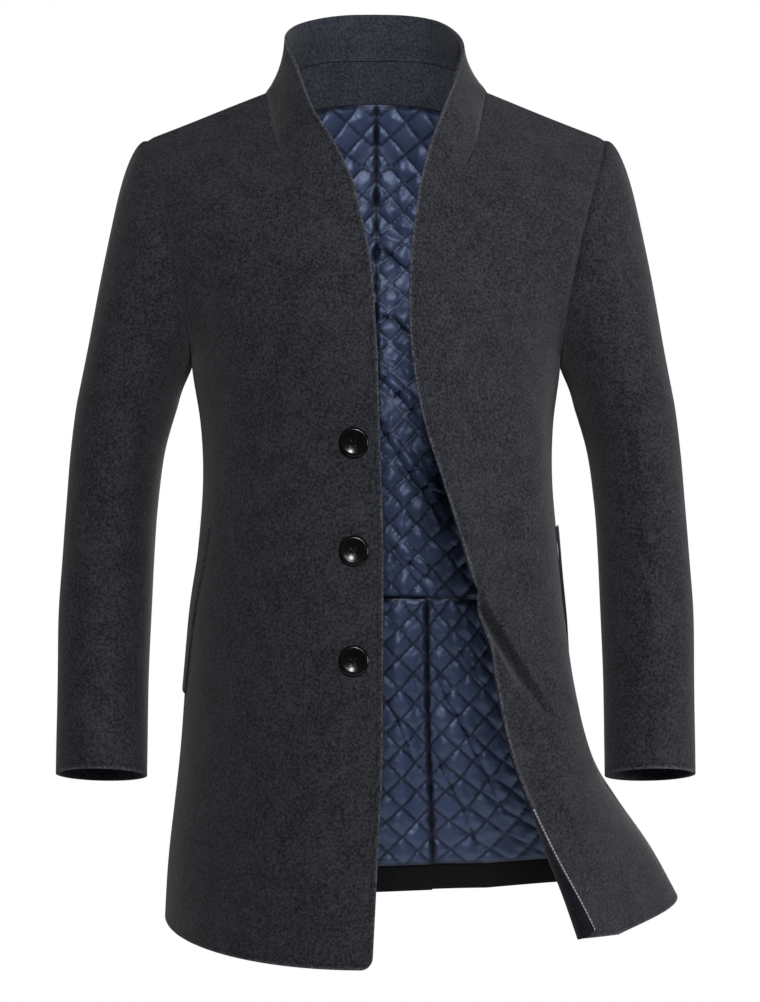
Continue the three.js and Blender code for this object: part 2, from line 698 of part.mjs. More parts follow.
const shell = {};
[RIGHT, LEFT].forEach((side) => {
  const name = sideName(side);
  const rings = sleeves[side];
  const around = rings[0].length;
  const flip = side === LEFT;
  shell[`front_${name}`] = frontSheet(side);
  shell[`back_${name}`] = backSheet(side);
  shell[`sleeve_under_${name}`] = new Sheet()
    .addGrid(ringPart(rings, -UNDER_SLEEVE, UNDER_SLEEVE), { flip });
  shell[`sleeve_upper_${name}`] = new Sheet()
    .addGrid(ringPart(rings, UNDER_SLEEVE, around - UNDER_SLEEVE), { flip });
});
const normals = placeNormals(Object.values(shell));
Object.entries(shell).forEach(([name, sheet]) => {
  addPiece(name, wall(sheet, CLOTH, { normals }), WOOL);
});

/** Facings and the inner collar lie inside the shell, on the same places. */
function addFacing(name, sheet) {
  addPiece(name, wall(sheet, FACING, { depth: CLOTH + SEAM_GAP, normals }), WOOL_INSIDE);
}

[RIGHT, LEFT].forEach((side) => {
  const strip = fronts[side].slice(0, dartRow + 1).map((row) => row.slice(0, STRIP_COLUMNS + 1));
  const collarPart = collars[side].slice(0, fronts[side].length - dartRow);
  const sheet = new Sheet().addGrid(strip, { flip: side === RIGHT })
    .addGrid(collarPart, { flip: side === RIGHT });
  addFacing(`facing_${sideName(side)}`, sheet);
});

/** One sheet of the same part of the right and the left half, joined at the centre back. */
function joined(pick) {
  return [RIGHT, LEFT].reduce(
    (sheet, side) => sheet.addGrid(pick(side).grid, { flip: pick(side).flip }),
    new Sheet(),
  );
}
const collarInner = joined((side) => ({
  grid: collars[side].slice(fronts[side].length - 1 - dartRow),
  flip: side === RIGHT,
}));
addFacing('collar_inner', collarInner);

const neckRows = ROW_STEPS[ROW_STEPS.length - 1];
const neckFacing = joined((side) => ({
  grid: backs[side].slice(-1 - neckRows).map((row) => row.slice(0, STRIP_COLUMNS + 1)),
  flip: side === LEFT,
}));
addFacing('neck_facing', neckFacing);

/** The fractional places at even shares of a line's length, short of its end by a margin. */
function evenPlaces(points, count, margin = 0) {
  const lengths = [0];
  points.slice(1).forEach((point, k) => lengths.push(lengths[k] + point.distanceTo(points[k])));
  const total = lengths[lengths.length - 1] - margin;
  return Array.from({ length: count + 1 }, (_, step) => {
    const wanted = (step / count) * total;
    const k = Math.min(lengths.findLastIndex((length) => length <= wanted), points.length - 2);
    return k + (wanted - lengths[k]) / (lengths[k + 1] - lengths[k]);
  });
}

const lengthOf = (points) => sum(points.slice(1).map((point, k) => point.distanceTo(points[k])));

/** How far the lining's folds lift a place of the back. */
function liningFold(point) {
  return sum(LINING_FOLDS.map((fold) => {
    const from = new THREE.Vector2(...fold.from);
    const along = new THREE.Vector2(...fold.to).sub(from);
    const offset = new THREE.Vector2(point.x, point.z).sub(from);
    const share = THREE.MathUtils.clamp(offset.dot(along) / along.lengthSq(), 0, 1);
    const across = (offset.x * -along.y + offset.y * along.x) / along.length() / fold.width;
    return fold.rise * Math.sin(Math.PI * share) * Math.exp(-(across ** 2));
  }));
}

/** A quilted piece over a grid: flat stitch crossings, and a raised middle in each diamond. */
function quiltedSheet(grid, flip, sinkAt = () => 0) {
  const middle = grid[Math.floor(grid.length / 2)];
  const columns = Math.round(lengthOf(middle) / QUILT_HALF);
  const border = grid.map((row) => row[0]);
  const rowPlaces = evenPlaces(border, Math.round(lengthOf(border) / QUILT_HALF));
  const sheet = new Sheet();
  const rise = [];
  const ids = rowPlaces.map((row, r) => {
    const line = grid[0].map((_, column) => onGrid(grid, normals, column, row).point);
    return evenPlaces(line, columns, LINING_MARGIN).map((column, c) => {
      const { point, normal } = onGrid(grid, normals, column, row);
      point.addScaledVector(normal, -(CLOTH + LINING_ROOM + sinkAt(column) + liningFold(point)));
      const id = sheet.place(point);
      const inside = r > 0 && c > 0 && r < rowPlaces.length - 1 && c < columns;
      rise[id] = inside && (r + c) % 2 === 1 ? QUILT_RISE : 0;
      return id;
    });
  });
  const backsOf = new Sheet();
  backsOf.points = sheet.points;
  for (let r = 0; r + 1 < ids.length; r += 1) {
    for (let c = 0; c < columns; c += 1) {
      const [a, b, d, e] = [ids[r][c], ids[r][c + 1], ids[r + 1][c + 1], ids[r + 1][c]];
      const pair = (r + c) % 2 === 0 ? [[a, b, d], [a, d, e]] : [[a, b, e], [b, d, e]];
      const odd = (r + c) % 2 === 0 ? [b, e] : [a, d];
      pair.forEach((triangle, k) => {
        sheet.addTriangle(...triangle, flip);
        if (rise[odd[k]] === 0) {
          backsOf.addTriangle(...triangle, flip);
        }
      });
      if (rise[a] > 0) {
        const [low, high] = [ids[r - 1][c], ids[r + 1][c]];
        const [before, after] = [ids[r][c - 1], ids[r][c + 1]];
        backsOf.addTriangle(low, after, high, flip);
        backsOf.addTriangle(low, high, before, flip);
      }
    }
  }
  return { sheet, rise, backs: backsOf.triangles };
}

// The back's lining: two upper halves, and a skirt in two halves that part at the vent's underlap
const linings = {};
[RIGHT, LEFT].forEach((side) => {
  const grid = backs[side];
  const flip = side === LEFT;
  const upper = grid.slice(ventTop, grid.length - neckRows);
  linings[`lining_upper_${sideName(side)}`] = quiltedSheet(upper, flip);
});
const skirt = backs[RIGHT].slice(1, ventTop + 1).map((row, r) => (
  [...backs[LEFT][r + 1].slice(1, LAP_COLUMNS + 1).reverse(), ...row]
));
const underlapSink = (column) => (
  UNDERLAP_SINK * THREE.MathUtils.clamp(LAP_COLUMNS + 1 - column, 0, 1)
);
linings.lining_skirt_right = quiltedSheet(skirt, false, underlapSink);
linings.lining_skirt_left = quiltedSheet(
  backs[LEFT].slice(1, ventTop + 1).map((row) => row.slice(LAP_COLUMNS)),
  true,
);
const liningNormals = placeNormals(Object.values(linings).map((lining) => lining.sheet));
Object.entries(linings).forEach(([name, { sheet, rise, backs: plain }]) => {
  addPiece(name, wall(sheet, LINING, { rise, backs: plain, normals: liningNormals }), SATIN);
});

// Facings of the back hem and of the cuffs
[RIGHT, LEFT].forEach((side) => {
  const flip = side === LEFT;
  const hem = new Sheet();
  if (side === RIGHT) {
    const sink = (r, c) => (c === 0 ? UNDERLAP_SINK : 0);
    hem.addGrid(backs[RIGHT].slice(0, 2), { flip, sink });
    const lap = backs[LEFT].slice(0, 2).map((row) => row.slice(0, LAP_COLUMNS + 1));
    hem.addGrid(lap, { flip: true, sink: () => UNDERLAP_SINK });
  } else {
    hem.addGrid(backs[LEFT].slice(0, 2).map((row) => row.slice(LAP_COLUMNS)), { flip });
  }
  addFacing(`hem_facing_${sideName(side)}`, hem);
  const rings = sleeves[side].slice(-1 - CUFF_FACING_RINGS);
  const cuff = new Sheet().addGrid(ringPart(rings, 0, rings[0].length), { flip });
  addFacing(`cuff_facing_${sideName(side)}`, cuff);
});

/** The fractional row of a grid at which its seam column has a height. */
function rowAtHeight(grid, z) {
  const heights = grid.map((row) => row[row.length - 1].z);
  const row = heights.findLastIndex((height) => height <= z);
  return row + (z - heights[row]) / (heights[row + 1] - heights[row]);
}

/** The fractional place on a line that is a given length short of its end. */
function shortOfEnd(line, length) {
  return evenPlaces(line, 1, length)[1];
}

/** A slanted pocket welt on a front, laid on the panel's own places. */
function pocketWelt(side) {
  const grid = fronts[side].slice(0, meshRow(ARMPIT_ROW));
  const places = Array.from({ length: WELT.steps + 1 }, (_, step) => {
    const row = rowAtHeight(grid, lerp(WELT.bottom.z, WELT.top.z, step / WELT.steps));
    const middle = lerp(WELT.bottom.fromSeam, WELT.top.fromSeam, step / WELT.steps);
    const line = grid[0].map((_corner, column) => onGrid(grid, normals, column, row).point);
    return WELT.across.map((share) => {
      const column = shortOfEnd(line, middle + share * WELT.width);
      return onGrid(grid, normals, column, row).point;
    });
  });
  const sheet = new Sheet().addGrid(places, { flip: side === RIGHT });
  return wall(sheet, WELT.thickness, { depth: -(WELT.room + WELT.thickness) });
}

/** A button: a disc with a raised rim and a dished middle. */
function buttonForm() {
  const { radius, thickness } = BUTTON;
  const profile = [
    [0, 0],
    [radius - BUTTON.base, 0],
    [radius, BUTTON.side],
    [radius, thickness - BUTTON.shoulder],
    [radius - BUTTON.rimOuter, thickness],
    [radius - BUTTON.rimInner, thickness],
    [radius - BUTTON.dishEdge, thickness - BUTTON.shoulder],
    [0, thickness - BUTTON.dish],
  ].map(([x, y]) => new THREE.Vector2(x, y));
  const lathe = new THREE.LatheGeometry(profile, BUTTON.segments);
  lathe.deleteAttribute('normal');
  lathe.deleteAttribute('uv');
  const merged = mergeVertices(lathe, 1e-4);
  const places = merged.attributes.position;
  const points = Array.from(
    { length: places.count },
    (_, k) => new THREE.Vector3().fromBufferAttribute(places, k),
  );
  const index = Array.from(merged.index.array);
  const faces = [];
  for (let k = 0; k < index.length; k += 3) {
    const face = index.slice(k, k + 3);
    if (new Set(face).size === 3) {
      faces.push(face);
    }
  }
  return solid(points, faces);
}

[RIGHT, LEFT].forEach((side) => addPiece(`pocket_welt_${sideName(side)}`, pocketWelt(side), WOOL));
BUTTON_PLACES.forEach(({ out, z }, number) => {
  const { column, row } = locate(fronts[RIGHT].slice(0, dartRow), RIGHT, out, z);
  const { point, normal } = onGrid(fronts[RIGHT], normals, column, row);
  const button = addPiece(`button_${number + 1}`, buttonForm(), HORN);
  button.position.copy(point).addScaledVector(normal, BUTTON.room);
  button.quaternion.setFromUnitVectors(new THREE.Vector3(0, 1, 0), normal);
});

export default coat;
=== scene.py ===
"""A charcoal wool overcoat with a quilted satin lining, dressed on its CAD frame.

Lengths in the tables are millimetres in the coat's own frame: +Z up, +X to the wearer's left, the
front towards -Y, the origin at the base of the neck. Meshes are made in metres.
"""

import json
import logging
import math
from collections.abc import Sequence
from dataclasses import dataclass, field
from enum import Enum
from typing import NamedTuple

import bpy
import numpy as np
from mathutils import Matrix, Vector

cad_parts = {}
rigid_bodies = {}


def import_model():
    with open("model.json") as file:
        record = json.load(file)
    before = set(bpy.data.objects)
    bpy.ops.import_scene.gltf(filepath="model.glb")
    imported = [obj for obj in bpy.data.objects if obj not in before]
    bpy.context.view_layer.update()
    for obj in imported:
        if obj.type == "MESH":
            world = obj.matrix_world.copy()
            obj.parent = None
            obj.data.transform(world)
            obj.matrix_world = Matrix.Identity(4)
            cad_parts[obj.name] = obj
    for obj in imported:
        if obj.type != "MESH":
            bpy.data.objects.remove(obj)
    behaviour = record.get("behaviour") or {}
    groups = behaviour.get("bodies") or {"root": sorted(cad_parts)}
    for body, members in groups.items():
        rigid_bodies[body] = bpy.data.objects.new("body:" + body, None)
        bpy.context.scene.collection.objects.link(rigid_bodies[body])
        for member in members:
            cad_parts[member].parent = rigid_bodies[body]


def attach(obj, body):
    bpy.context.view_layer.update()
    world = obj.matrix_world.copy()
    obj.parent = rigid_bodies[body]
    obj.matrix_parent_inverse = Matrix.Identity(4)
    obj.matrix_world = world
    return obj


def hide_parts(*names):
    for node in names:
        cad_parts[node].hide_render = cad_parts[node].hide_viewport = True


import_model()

LOG = logging.getLogger("coat")
MM = 0.001
FINE = 8
Point = tuple[float, float, float]


class Side(Enum):
    """The two sides of the coat, as the wearer has them."""

    RIGHT = -1
    LEFT = 1

    @property
    def label(self) -> str:
        """The side's name as the CAD nodes have it."""
        return self.name.lower()


class Row(NamedTuple):
    """A panel's section: its free edge, the line by the neck dart, and their headings."""

    edge: Point | None
    heading: float
    mid: Point
    mid_heading: float
    edge_rise: float | None = None
    mid_rise: float | None = None
    out_heading: float | None = None


class Seam(NamedTuple):
    """A place on a panel's outer seam, and the section's heading there."""

    at: Point
    heading: float


class Lip(NamedTuple):
    """A place on the collar's free edge, and how far the collar bows out below it."""

    edge: Point
    bow: float


class Ring(NamedTuple):
    """A sleeve's section below the armpit."""

    at: Point
    half_wide: float
    half_deep: float
    pitch: float


SIDE_SEAM = {
    Side.RIGHT: [
        Seam((214, 42, -828), 90),
        Seam((210.5, 40, -770), 90),
        Seam((204, 38, -710), 90),
        Seam((198.5, 36, -650), 90),
        Seam((193.5, 34, -590), 90),
        Seam((186.5, 30, -514), 90),
        Seam((179.5, 28, -450), 90),
        Seam((175.5, 26, -390), 90),
        Seam((178, 22, -330), 90),
        Seam((185, 12, -274), 90),
    ],
    Side.LEFT: [
        Seam((296, 78, -812), 122),
        Seam((268, 70, -760), 118),
        Seam((231, 60, -705), 110),
        Seam((202, 47, -649), 96),
        Seam((190, 38, -590), 91),
        Seam((184, 30, -514), 90),
        Seam((179.5, 28, -450), 90),
        Seam((175.5, 26, -390), 90),
        Seam((178, 22, -330), 90),
        Seam((185, 12, -274), 90),
    ],
}
ARMHOLE_FRONT = [
    Seam((184, -24, -258), 74),
    Seam((188, -50, -218), 58),
    Seam((202, -60, -142), 44),
    Seam((214, -42, -99), 34),
    Seam((225, -15, -67), 20),
    Seam((230, 10, -46), 2),
]
ARMHOLE_BACK = [
    Seam((184, 42, -258), -74),
    Seam((189, 63, -222), -60),
    Seam((200, 73, -165), -46),
    Seam((212, 62, -110), -34),
    Seam((224, 36, -68), -20),
    Seam((230, 10, -46), 2),
]
DART_LINE = [
    Row(None, 0, (86, -84, -86), 14),
    Row(None, 0, (98, -54, -56), 10),
    Row(None, 0, (111, 5, 0), 2),
]
FRONT = {
    Side.RIGHT: [
        Row((3, -163, -828), 1, (56, -157, -828), 13),
        Row((0, -159, -770), 1, (54, -154, -770), 12),
        Row((-3, -155, -710), 1, (53, -150, -710), 12),
        Row((-6, -151, -650), 1, (52, -146, -650), 12),
        Row((-6.5, -146, -590), 1, (52, -141, -590), 12),
        Row((-7, -140, -514), 1, (51, -135, -514), 12),
        Row((-7, -134, -450), 1, (51, -129, -450), 12),
        Row((-5.5, -131, -390), 1, (52, -126, -390), 12),
        Row((-3.5, -132, -330), 1, (53, -127, -330), 12),
        Row((-2, -135, -274), 1, (55, -130, -274), 12),
        Row((0, -135, -238), 2, (58, -130, -236), 12),
        Row((5, -131, -180), 4, (64, -125, -182), 12),
        Row((21, -118, -105), 6, (71, -108, -108), 14),
        *DART_LINE,
    ],
    Side.LEFT: [
        Row((201, -157, -797), 184, (229, -98, -814), 54),
        Row((185, -156, -765), 178, (210, -106, -764), 50),
        Row((157, -153, -712), 132, (191, -116, -710), 44),
        Row((130, -152, -650), 62, (175, -122, -650), 38),
        Row((114, -152, -590), 38, (162, -121, -590), 36),
        Row((101, -150, -514), 26, (148, -119, -514), 38),
        Row((83, -152, -450), 20, (133, -118, -450), 32),
        Row((63, -150, -390), 14, (116, -120, -390), 24),
        Row((44, -149, -330), 8, (99, -124, -330), 22),
        Row((34, -147, -274), 5, (88, -126, -274), 20),
        Row((31, -145, -232), 4, (84, -127, -236), 18),
        Row((33, -137, -174), 5, (78, -124, -182), 15),
        Row((41, -121, -110), 6, (71, -108, -108), 14),
        *DART_LINE,
    ],
}
BACK_UPPER = [
    Row((0, 98, -514), 0, (106, 85, -514), -14),
    Row((0, 93, -450), 0, (104, 79, -450), -15),
    Row((0, 90, -390), 0, (103, 76, -390), -15),
    Row((0, 94, -330), 0, (104, 81, -330), -14),
    Row((0, 102, -274), 0, (106, 90, -274), -14),
    Row((0, 106, -238), 0, (108, 95, -238), -14),
    Row((0, 111, -188), 0, (110, 99, -188), -15),
    Row((0, 113, -130), 0, (112, 97, -136), -16),
    Row((0, 108, -60), 0, (113, 80, -82), -17),
    Row((0, 93, 6), 0, (113, 47, -32), -17, -1, -30),
    Row((0, 79, 48), 0, (111, 5, 0), -72, 0, -42, 2),
]
BACK = {
    Side.RIGHT: [
        Row((0, 112, -828), 0, (115, 101, -828), -12),
        Row((0, 110, -770), 0, (114, 99, -770), -12),
        Row((0, 108, -710), 0, (112, 97, -710), -12),
        Row((0, 106, -650), 0, (110, 95, -650), -12),
        Row((0, 103, -590), 0, (108, 91, -590), -13),
        *BACK_UPPER,
    ],
    Side.LEFT: [
        Row((0, 112, -828), 9, (118, 129, -828), 2),
        Row((0, 110, -770), 7, (117, 121, -770), 0),
        Row((0, 108, -710), 4, (114, 112, -710), -4),
        Row((0, 106, -650), 2, (111, 103, -650), -8),
        Row((0, 103, -590), 0, (108, 94, -590), -12),
        *BACK_UPPER,
    ],
}
COLLAR_FRONT = {
    Side.RIGHT: [
        Lip((21, -118, -105), 1),
        Lip((40, -102, -65), 3),
        Lip((60, -80, -32), 4),
        Lip((78, -44, 16), 1),
    ],
    Side.LEFT: [
        Lip((41, -121, -110), 1),
        Lip((51, -107, -72), 3),
        Lip((65, -86, -32), 4),
        Lip((78, -54, 4), 0),
    ],
}
COLLAR_BACK = {
    Side.RIGHT: [
        Lip((91, -14, 48), -1),
        Lip((85, 22, 70), -1),
        Lip((64, 51, 85), -1),
        Lip((33, 68, 93), -2),
        Lip((0, 74, 95), -2),
    ],
    Side.LEFT: [
        Lip((87, -20, 40), -2),
        Lip((79, 19, 66), -2),
        Lip((60, 49, 84), -2),
        Lip((32, 67, 92.5), -2),
        Lip((0, 74, 95), -2),
    ],
}
SLEEVE = [
    Ring((249, 12, -310), 50.5, 70, 0),
    Ring((259.5, 13, -360), 46.5, 67, 2),
    Ring((264.5, 10, -410), 44.5, 64, 5),
    Ring((267, 0, -464), 44.5, 61, 10),
    Ring((268, -14, -518), 45, 58, 14),
    Ring((267, -30, -572), 44.5, 55, 17),
    Ring((265.5, -46, -624), 44, 52, 18),
    Ring((264, -60, -671), 43.5, 50, 18),
]
ROW_STEPS = [2, 1, 2, 2, 2, 2, 1, 1, 1, 2, 2, 2, 2, 2, 2]
ARMPIT_ROW = 9
DART_ROW = 12
VENT_ROW = 5
# In millimetres: the band along a free edge where shade and highlight are painted into the wool's
# colour, how far into that band a back seam or vent edge starts, so that it takes only the painted
# shade line, the round of the fronts' lower corners, and how far the cloth draws in at an armhole
# seam and at the neck dart.
EDGE_LIGHT_BAND = 12.0
SEAM_SHADE = 5.0
FRONT_CORNER = 11.0
SEAM_DIP = 1.3
DART_DIP = 1.2


@dataclass(frozen=True)
class Cloth:
    """Thicknesses of the cloth and the room between its layers, in millimetres."""

    shell: float = 2.2
    facing: float = 1.3
    lining: float = 1.1
    layer_gap: float = 0.3
    lining_room: float = 1.3
    underlap: float = 2.8

    @property
    def facing_depth(self) -> float:
        """How deep a facing lies below the shell's outer face."""
        return self.shell + self.layer_gap


@dataclass(frozen=True)
class Divisions:
    """Mesh columns of the panels, and mesh rows of the sleeves."""

    strip: int = 24
    outer: int = 54
    cap: int = 40
    ring_steps: int = 8
    under_sleeve: int = 5 * FINE
    lap: int = 12


@dataclass(frozen=True)
class Fold:
    """A soft ridge, or a trough where the height is negative, along a line of (x, z) places.

    One with a drop is an overlap instead: the cloth stands up on the line's upper side, hangs over
    the line, and lies low on its other side.
    """

    line: tuple[tuple[float, float], ...]
    height: float
    width: float
    front: bool = True
    drop: float = 0.0
    over: float = 0.0


CLOTH = Cloth()
DIVISIONS = Divisions()


def unit(vectors: np.ndarray) -> np.ndarray:
    """Scales vectors to length one, and leaves those of no length alone."""
    size = np.linalg.norm(vectors, axis=-1, keepdims=True)
    return vectors / np.where(size < 1e-12, 1.0, size)


def smoothstep(low: float, high: float, value: np.ndarray) -> np.ndarray:
    """0 below low, 1 above high, and a soft step between them."""
    share = np.clip((value - low) / (high - low), 0.0, 1.0)
    return share * share * (3.0 - 2.0 * share)


def reach(leave: float, arrive: float) -> float:
    """How far a smooth curve's handle reaches, for the angles it leaves and arrives at.

    Args:
        leave: the angle from the chord at the start, in radians.
        arrive: the angle from the chord at the end, in radians.

    Returns:
        The handle's length as a share of the chord.
    """
    wave = (
        math.sqrt(2)
        * (math.sin(leave) - math.sin(arrive) / 16)
        * (math.sin(arrive) - math.sin(leave) / 16)
        * (math.cos(leave) - math.cos(arrive))
    )
    root = math.sqrt(5)
    spread = 1 + 0.5 * (root - 1) * math.cos(leave) + 0.5 * (3 - root) * math.cos(arrive)
    return (2 + wave) / (3 * spread)


def bend(
    start: Point,
    leave_heading: float,
    end: Point,
    arrive_heading: float,
    rises: tuple[float | None, float | None] = (None, None),
) -> np.ndarray:
    """The four handles of a curve that leaves and arrives on the given plan headings.

    Args:
        start: where the curve starts.
        leave_heading: its heading there, in degrees.
        end: where the curve ends.
        arrive_heading: its heading there, in degrees.
        rises: how far the handles rise, or None for an even slope.

    Returns:
        The handles, (4, 3).
    """
    a, b = np.array(start, float), np.array(end, float)
    chord = math.atan2(b[1] - a[1], b[0] - a[0])
    span = math.hypot(b[0] - a[0], b[1] - a[1])
    out, back = math.radians(leave_heading), math.radians(arrive_heading)
    leave = math.remainder(out - chord, math.tau)
    arrive = math.remainder(chord - back, math.tau)
    drop = (b[2] - a[2]) / 3
    first, last = span * reach(leave, arrive), span * reach(arrive, leave)
    rise_a = drop if rises[0] is None else rises[0]
    rise_b = drop if rises[1] is None else rises[1]
    return np.array(
        [
            a,
            a + [first * math.cos(out), first * math.sin(out), rise_a],
            b - [last * math.cos(back), last * math.sin(back), rise_b],
            b,
        ]
    )


def bezier(handles: np.ndarray, t: np.ndarray) -> np.ndarray:
    """Places on a cubic curve at its own parameter; handles are (4, ..., 3)."""
    t = t.reshape((-1,) + (1,) * (handles.ndim - 1))
    s = 1 - t
    weights = (s**3, 3 * s * s * t, 3 * s * t * t, t**3)
    return sum(weight * handle for weight, handle in zip(weights, handles))


def along_bezier(handles: np.ndarray, shares: np.ndarray) -> np.ndarray:
    """Places on a cubic curve at shares of its length."""
    t = np.linspace(0, 1, 201)
    places = bezier(handles, t)
    lengths = np.concatenate([[0], np.cumsum(np.linalg.norm(np.diff(places, axis=0), axis=1))])
    return bezier(handles, np.interp(shares * lengths[-1], lengths, t))


def smooth_line(points: np.ndarray, places: np.ndarray) -> np.ndarray:
    """Centripetal curves through rows of points (n, m, 3), at fractional rows.

    Args:
        points: the rows of points.
        places: the fractional rows.

    Returns:
        The places, (places, m, 3).
    """
    first, last = 2 * points[:1] - points[1:2], 2 * points[-1:] - points[-2:-1]
    padded = np.concatenate([first, points, last])
    row = np.clip(np.floor(places + 1e-9), 0, len(points) - 2).astype(int)
    w = (places - row).reshape(-1, 1, 1)
    p0, p1, p2, p3 = (padded[row + k] for k in range(4))

    def gap(a: np.ndarray, b: np.ndarray) -> np.ndarray:
        """The root of the distance between two places."""
        return np.power(((a - b) ** 2).sum(-1, keepdims=True), 0.25)

    middle = gap(p1, p2)
    middle = np.where(middle < 1e-4, 1.0, middle)
    before = np.where(gap(p0, p1) < 1e-4, middle, gap(p0, p1))
    after = np.where(gap(p2, p3) < 1e-4, middle, gap(p2, p3))
    leave = (p1 - p0) / before - (p2 - p0) / (before + middle) + (p2 - p1) / middle
    arrive = (p2 - p1) / middle - (p3 - p1) / (middle + after) + (p3 - p2) / after
    leave, arrive = leave * middle, arrive * middle
    square = -3 * p1 + 3 * p2 - 2 * leave - arrive
    cube = 2 * p1 - 2 * p2 + leave + arrive
    return p1 + w * (leave + w * (square + w * cube))


def mesh_row(table_row: int) -> int:
    """The fine mesh row on which a table row lies."""
    return FINE * sum(ROW_STEPS[:table_row])


def row_places() -> np.ndarray:
    """The fractional table row of each fine mesh row."""
    parts = [i + np.arange(n * FINE) / (n * FINE) for i, n in enumerate(ROW_STEPS)]
    return np.concatenate([*parts, [float(len(ROW_STEPS))]])


def panel_grid(rows: Sequence[Row], seam: Sequence[Seam], strip_rows: int) -> np.ndarray:
    """Places over a panel, (rows, columns, 3), with none where the strip has ended.

    Args:
        rows: the panel's sections, lowest first.
        seam: the outer seam's places at those sections.
        strip_rows: how many table rows the strip at the free edge goes up.

    Returns:
        The places.
    """
    places = row_places()
    strip_shares = np.linspace(0, 1, DIVISIONS.strip + 1)[:-1]
    outer_shares = np.linspace(0, 1, DIVISIONS.outer + 1)[:-1]
    strips = []
    outers = []
    for row, end in zip(rows, seam):
        out = row.mid_heading if row.out_heading is None else row.out_heading
        outers.append(along_bezier(bend(row.mid, out, end.at, end.heading), outer_shares))
        if row.edge is not None:
            rises = (row.edge_rise, row.mid_rise)
            handles = bend(row.edge, row.heading, row.mid, row.mid_heading, rises)
            strips.append(along_bezier(handles, strip_shares))
    strips_array, outers_array = np.array(strips[: strip_rows + 1]), np.array(outers)
    count = int((places <= strip_rows + 1e-9).sum())
    short = smooth_line(outers_array[: strip_rows + 1, :1], places[:count])
    full = smooth_line(outers_array[:, :1], places[:count])
    strip = smooth_line(strips_array, places[:count])
    strip += (full - short) * (strip_shares**2).reshape(1, -1, 1)
    line = np.array([end.at for end in seam], float)[:, None]
    armpit = mesh_row(ARMPIT_ROW)
    side = smooth_line(line[: ARMPIT_ROW + 1], places[:armpit])
    hole = smooth_line(line[ARMPIT_ROW:], places[armpit:] - ARMPIT_ROW)
    grid = np.full((len(places), DIVISIONS.strip + DIVISIONS.outer + 1, 3), np.nan)
    broken = np.concatenate([side, hole])
    outer = smooth_line(outers_array, places)
    outer += (broken - smooth_line(line, places)) * (outer_shares**3).reshape(1, -1, 1)
    grid[:count, : DIVISIONS.strip] = strip
    grid[:, DIVISIONS.strip : -1] = outer
    grid[:, -1:] = broken
    return grid


def mirrored(grid: np.ndarray, side: Side) -> np.ndarray:
    """Places given as outward distances, put on their side."""
    return grid * np.array([side.value, 1.0, 1.0])


def corner_rounded(grid: np.ndarray, radius: float) -> np.ndarray:
    """A panel's places with the lower corner at its free edge rounded.

    Args:
        grid: the panel's places.
        radius: the corner's radius.

    Returns:
        The places with the corner rounded.
    """
    flat = flat_places(grid)
    u, v = (np.clip(1 - flat[..., k] / radius, 0, 1) for k in (0, 1))
    across, along = (unit(np.gradient(grid, axis=k)) for k in (1, 0))
    inward = radius * u * (1 - np.sqrt(1 - v * v / 2))
    upward = radius * v * (1 - np.sqrt(1 - u * u / 2))
    move = across * inward[..., None] + along * upward[..., None]
    return grid + np.where(np.isnan(move), 0.0, move)


def front_grid(side: Side) -> np.ndarray:
    """The front panel's places, without the strip above the neck dart."""
    seam = [*SIDE_SEAM[side], *ARMHOLE_FRONT]
    grid = mirrored(panel_grid(FRONT[side], seam, DART_ROW), side)
    return corner_rounded(grid, FRONT_CORNER)


def back_grid(side: Side) -> np.ndarray:
    """The back panel's places."""
    seam = [Seam(row.at, row.heading - 180) for row in SIDE_SEAM[side]] + ARMHOLE_BACK
    return mirrored(panel_grid(BACK[side], seam, len(ROW_STEPS)), side)


def collar_grid(side: Side, front: np.ndarray, back: np.ndarray) -> np.ndarray:
    """Half of the collar, cut in one with the front: from the dart's end round to the back.

    Args:
        side: which half.
        front: the front's places.
        back: the back's places.

    Returns:
        The places, from the dart's line out to the free edge.
    """
    strip = DIVISIONS.strip
    lip = front[mesh_row(DART_ROW) :, strip]
    base = np.concatenate([lip, back[-1, :strip][::-1]])
    table = COLLAR_FRONT[side] + COLLAR_BACK[side]
    turn = len(COLLAR_FRONT[side]) - 1
    shares = np.arange(1, strip + 1) / strip
    at = np.concatenate(
        [np.linspace(0, turn, len(lip)), turn + shares * (len(table) - 1 - turn)]
    )
    points = mirrored(np.array([row.edge for row in table], float)[:, None], side)
    edge = smooth_line(points, at)
    bow = np.interp(at, np.arange(len(table)), [row.bow for row in table]).reshape(-1, 1, 1)
    outward = unit(base * [1, 1, 0] + [0, 1, 0])[:, None]
    u = np.linspace(0, 1, strip + 1).reshape(1, -1, 1)
    grid = edge * (1 - u) + base[:, None] * u + outward * bow * 4 * u * (1 - u)
    start = front[mesh_row(DART_ROW), : strip + 1]
    fade = np.clip(1 - np.arange(len(base)) / (2 * FINE), 0, 1) ** 2
    return grid + (start - grid[0]) * fade.reshape(-1, 1, 1)


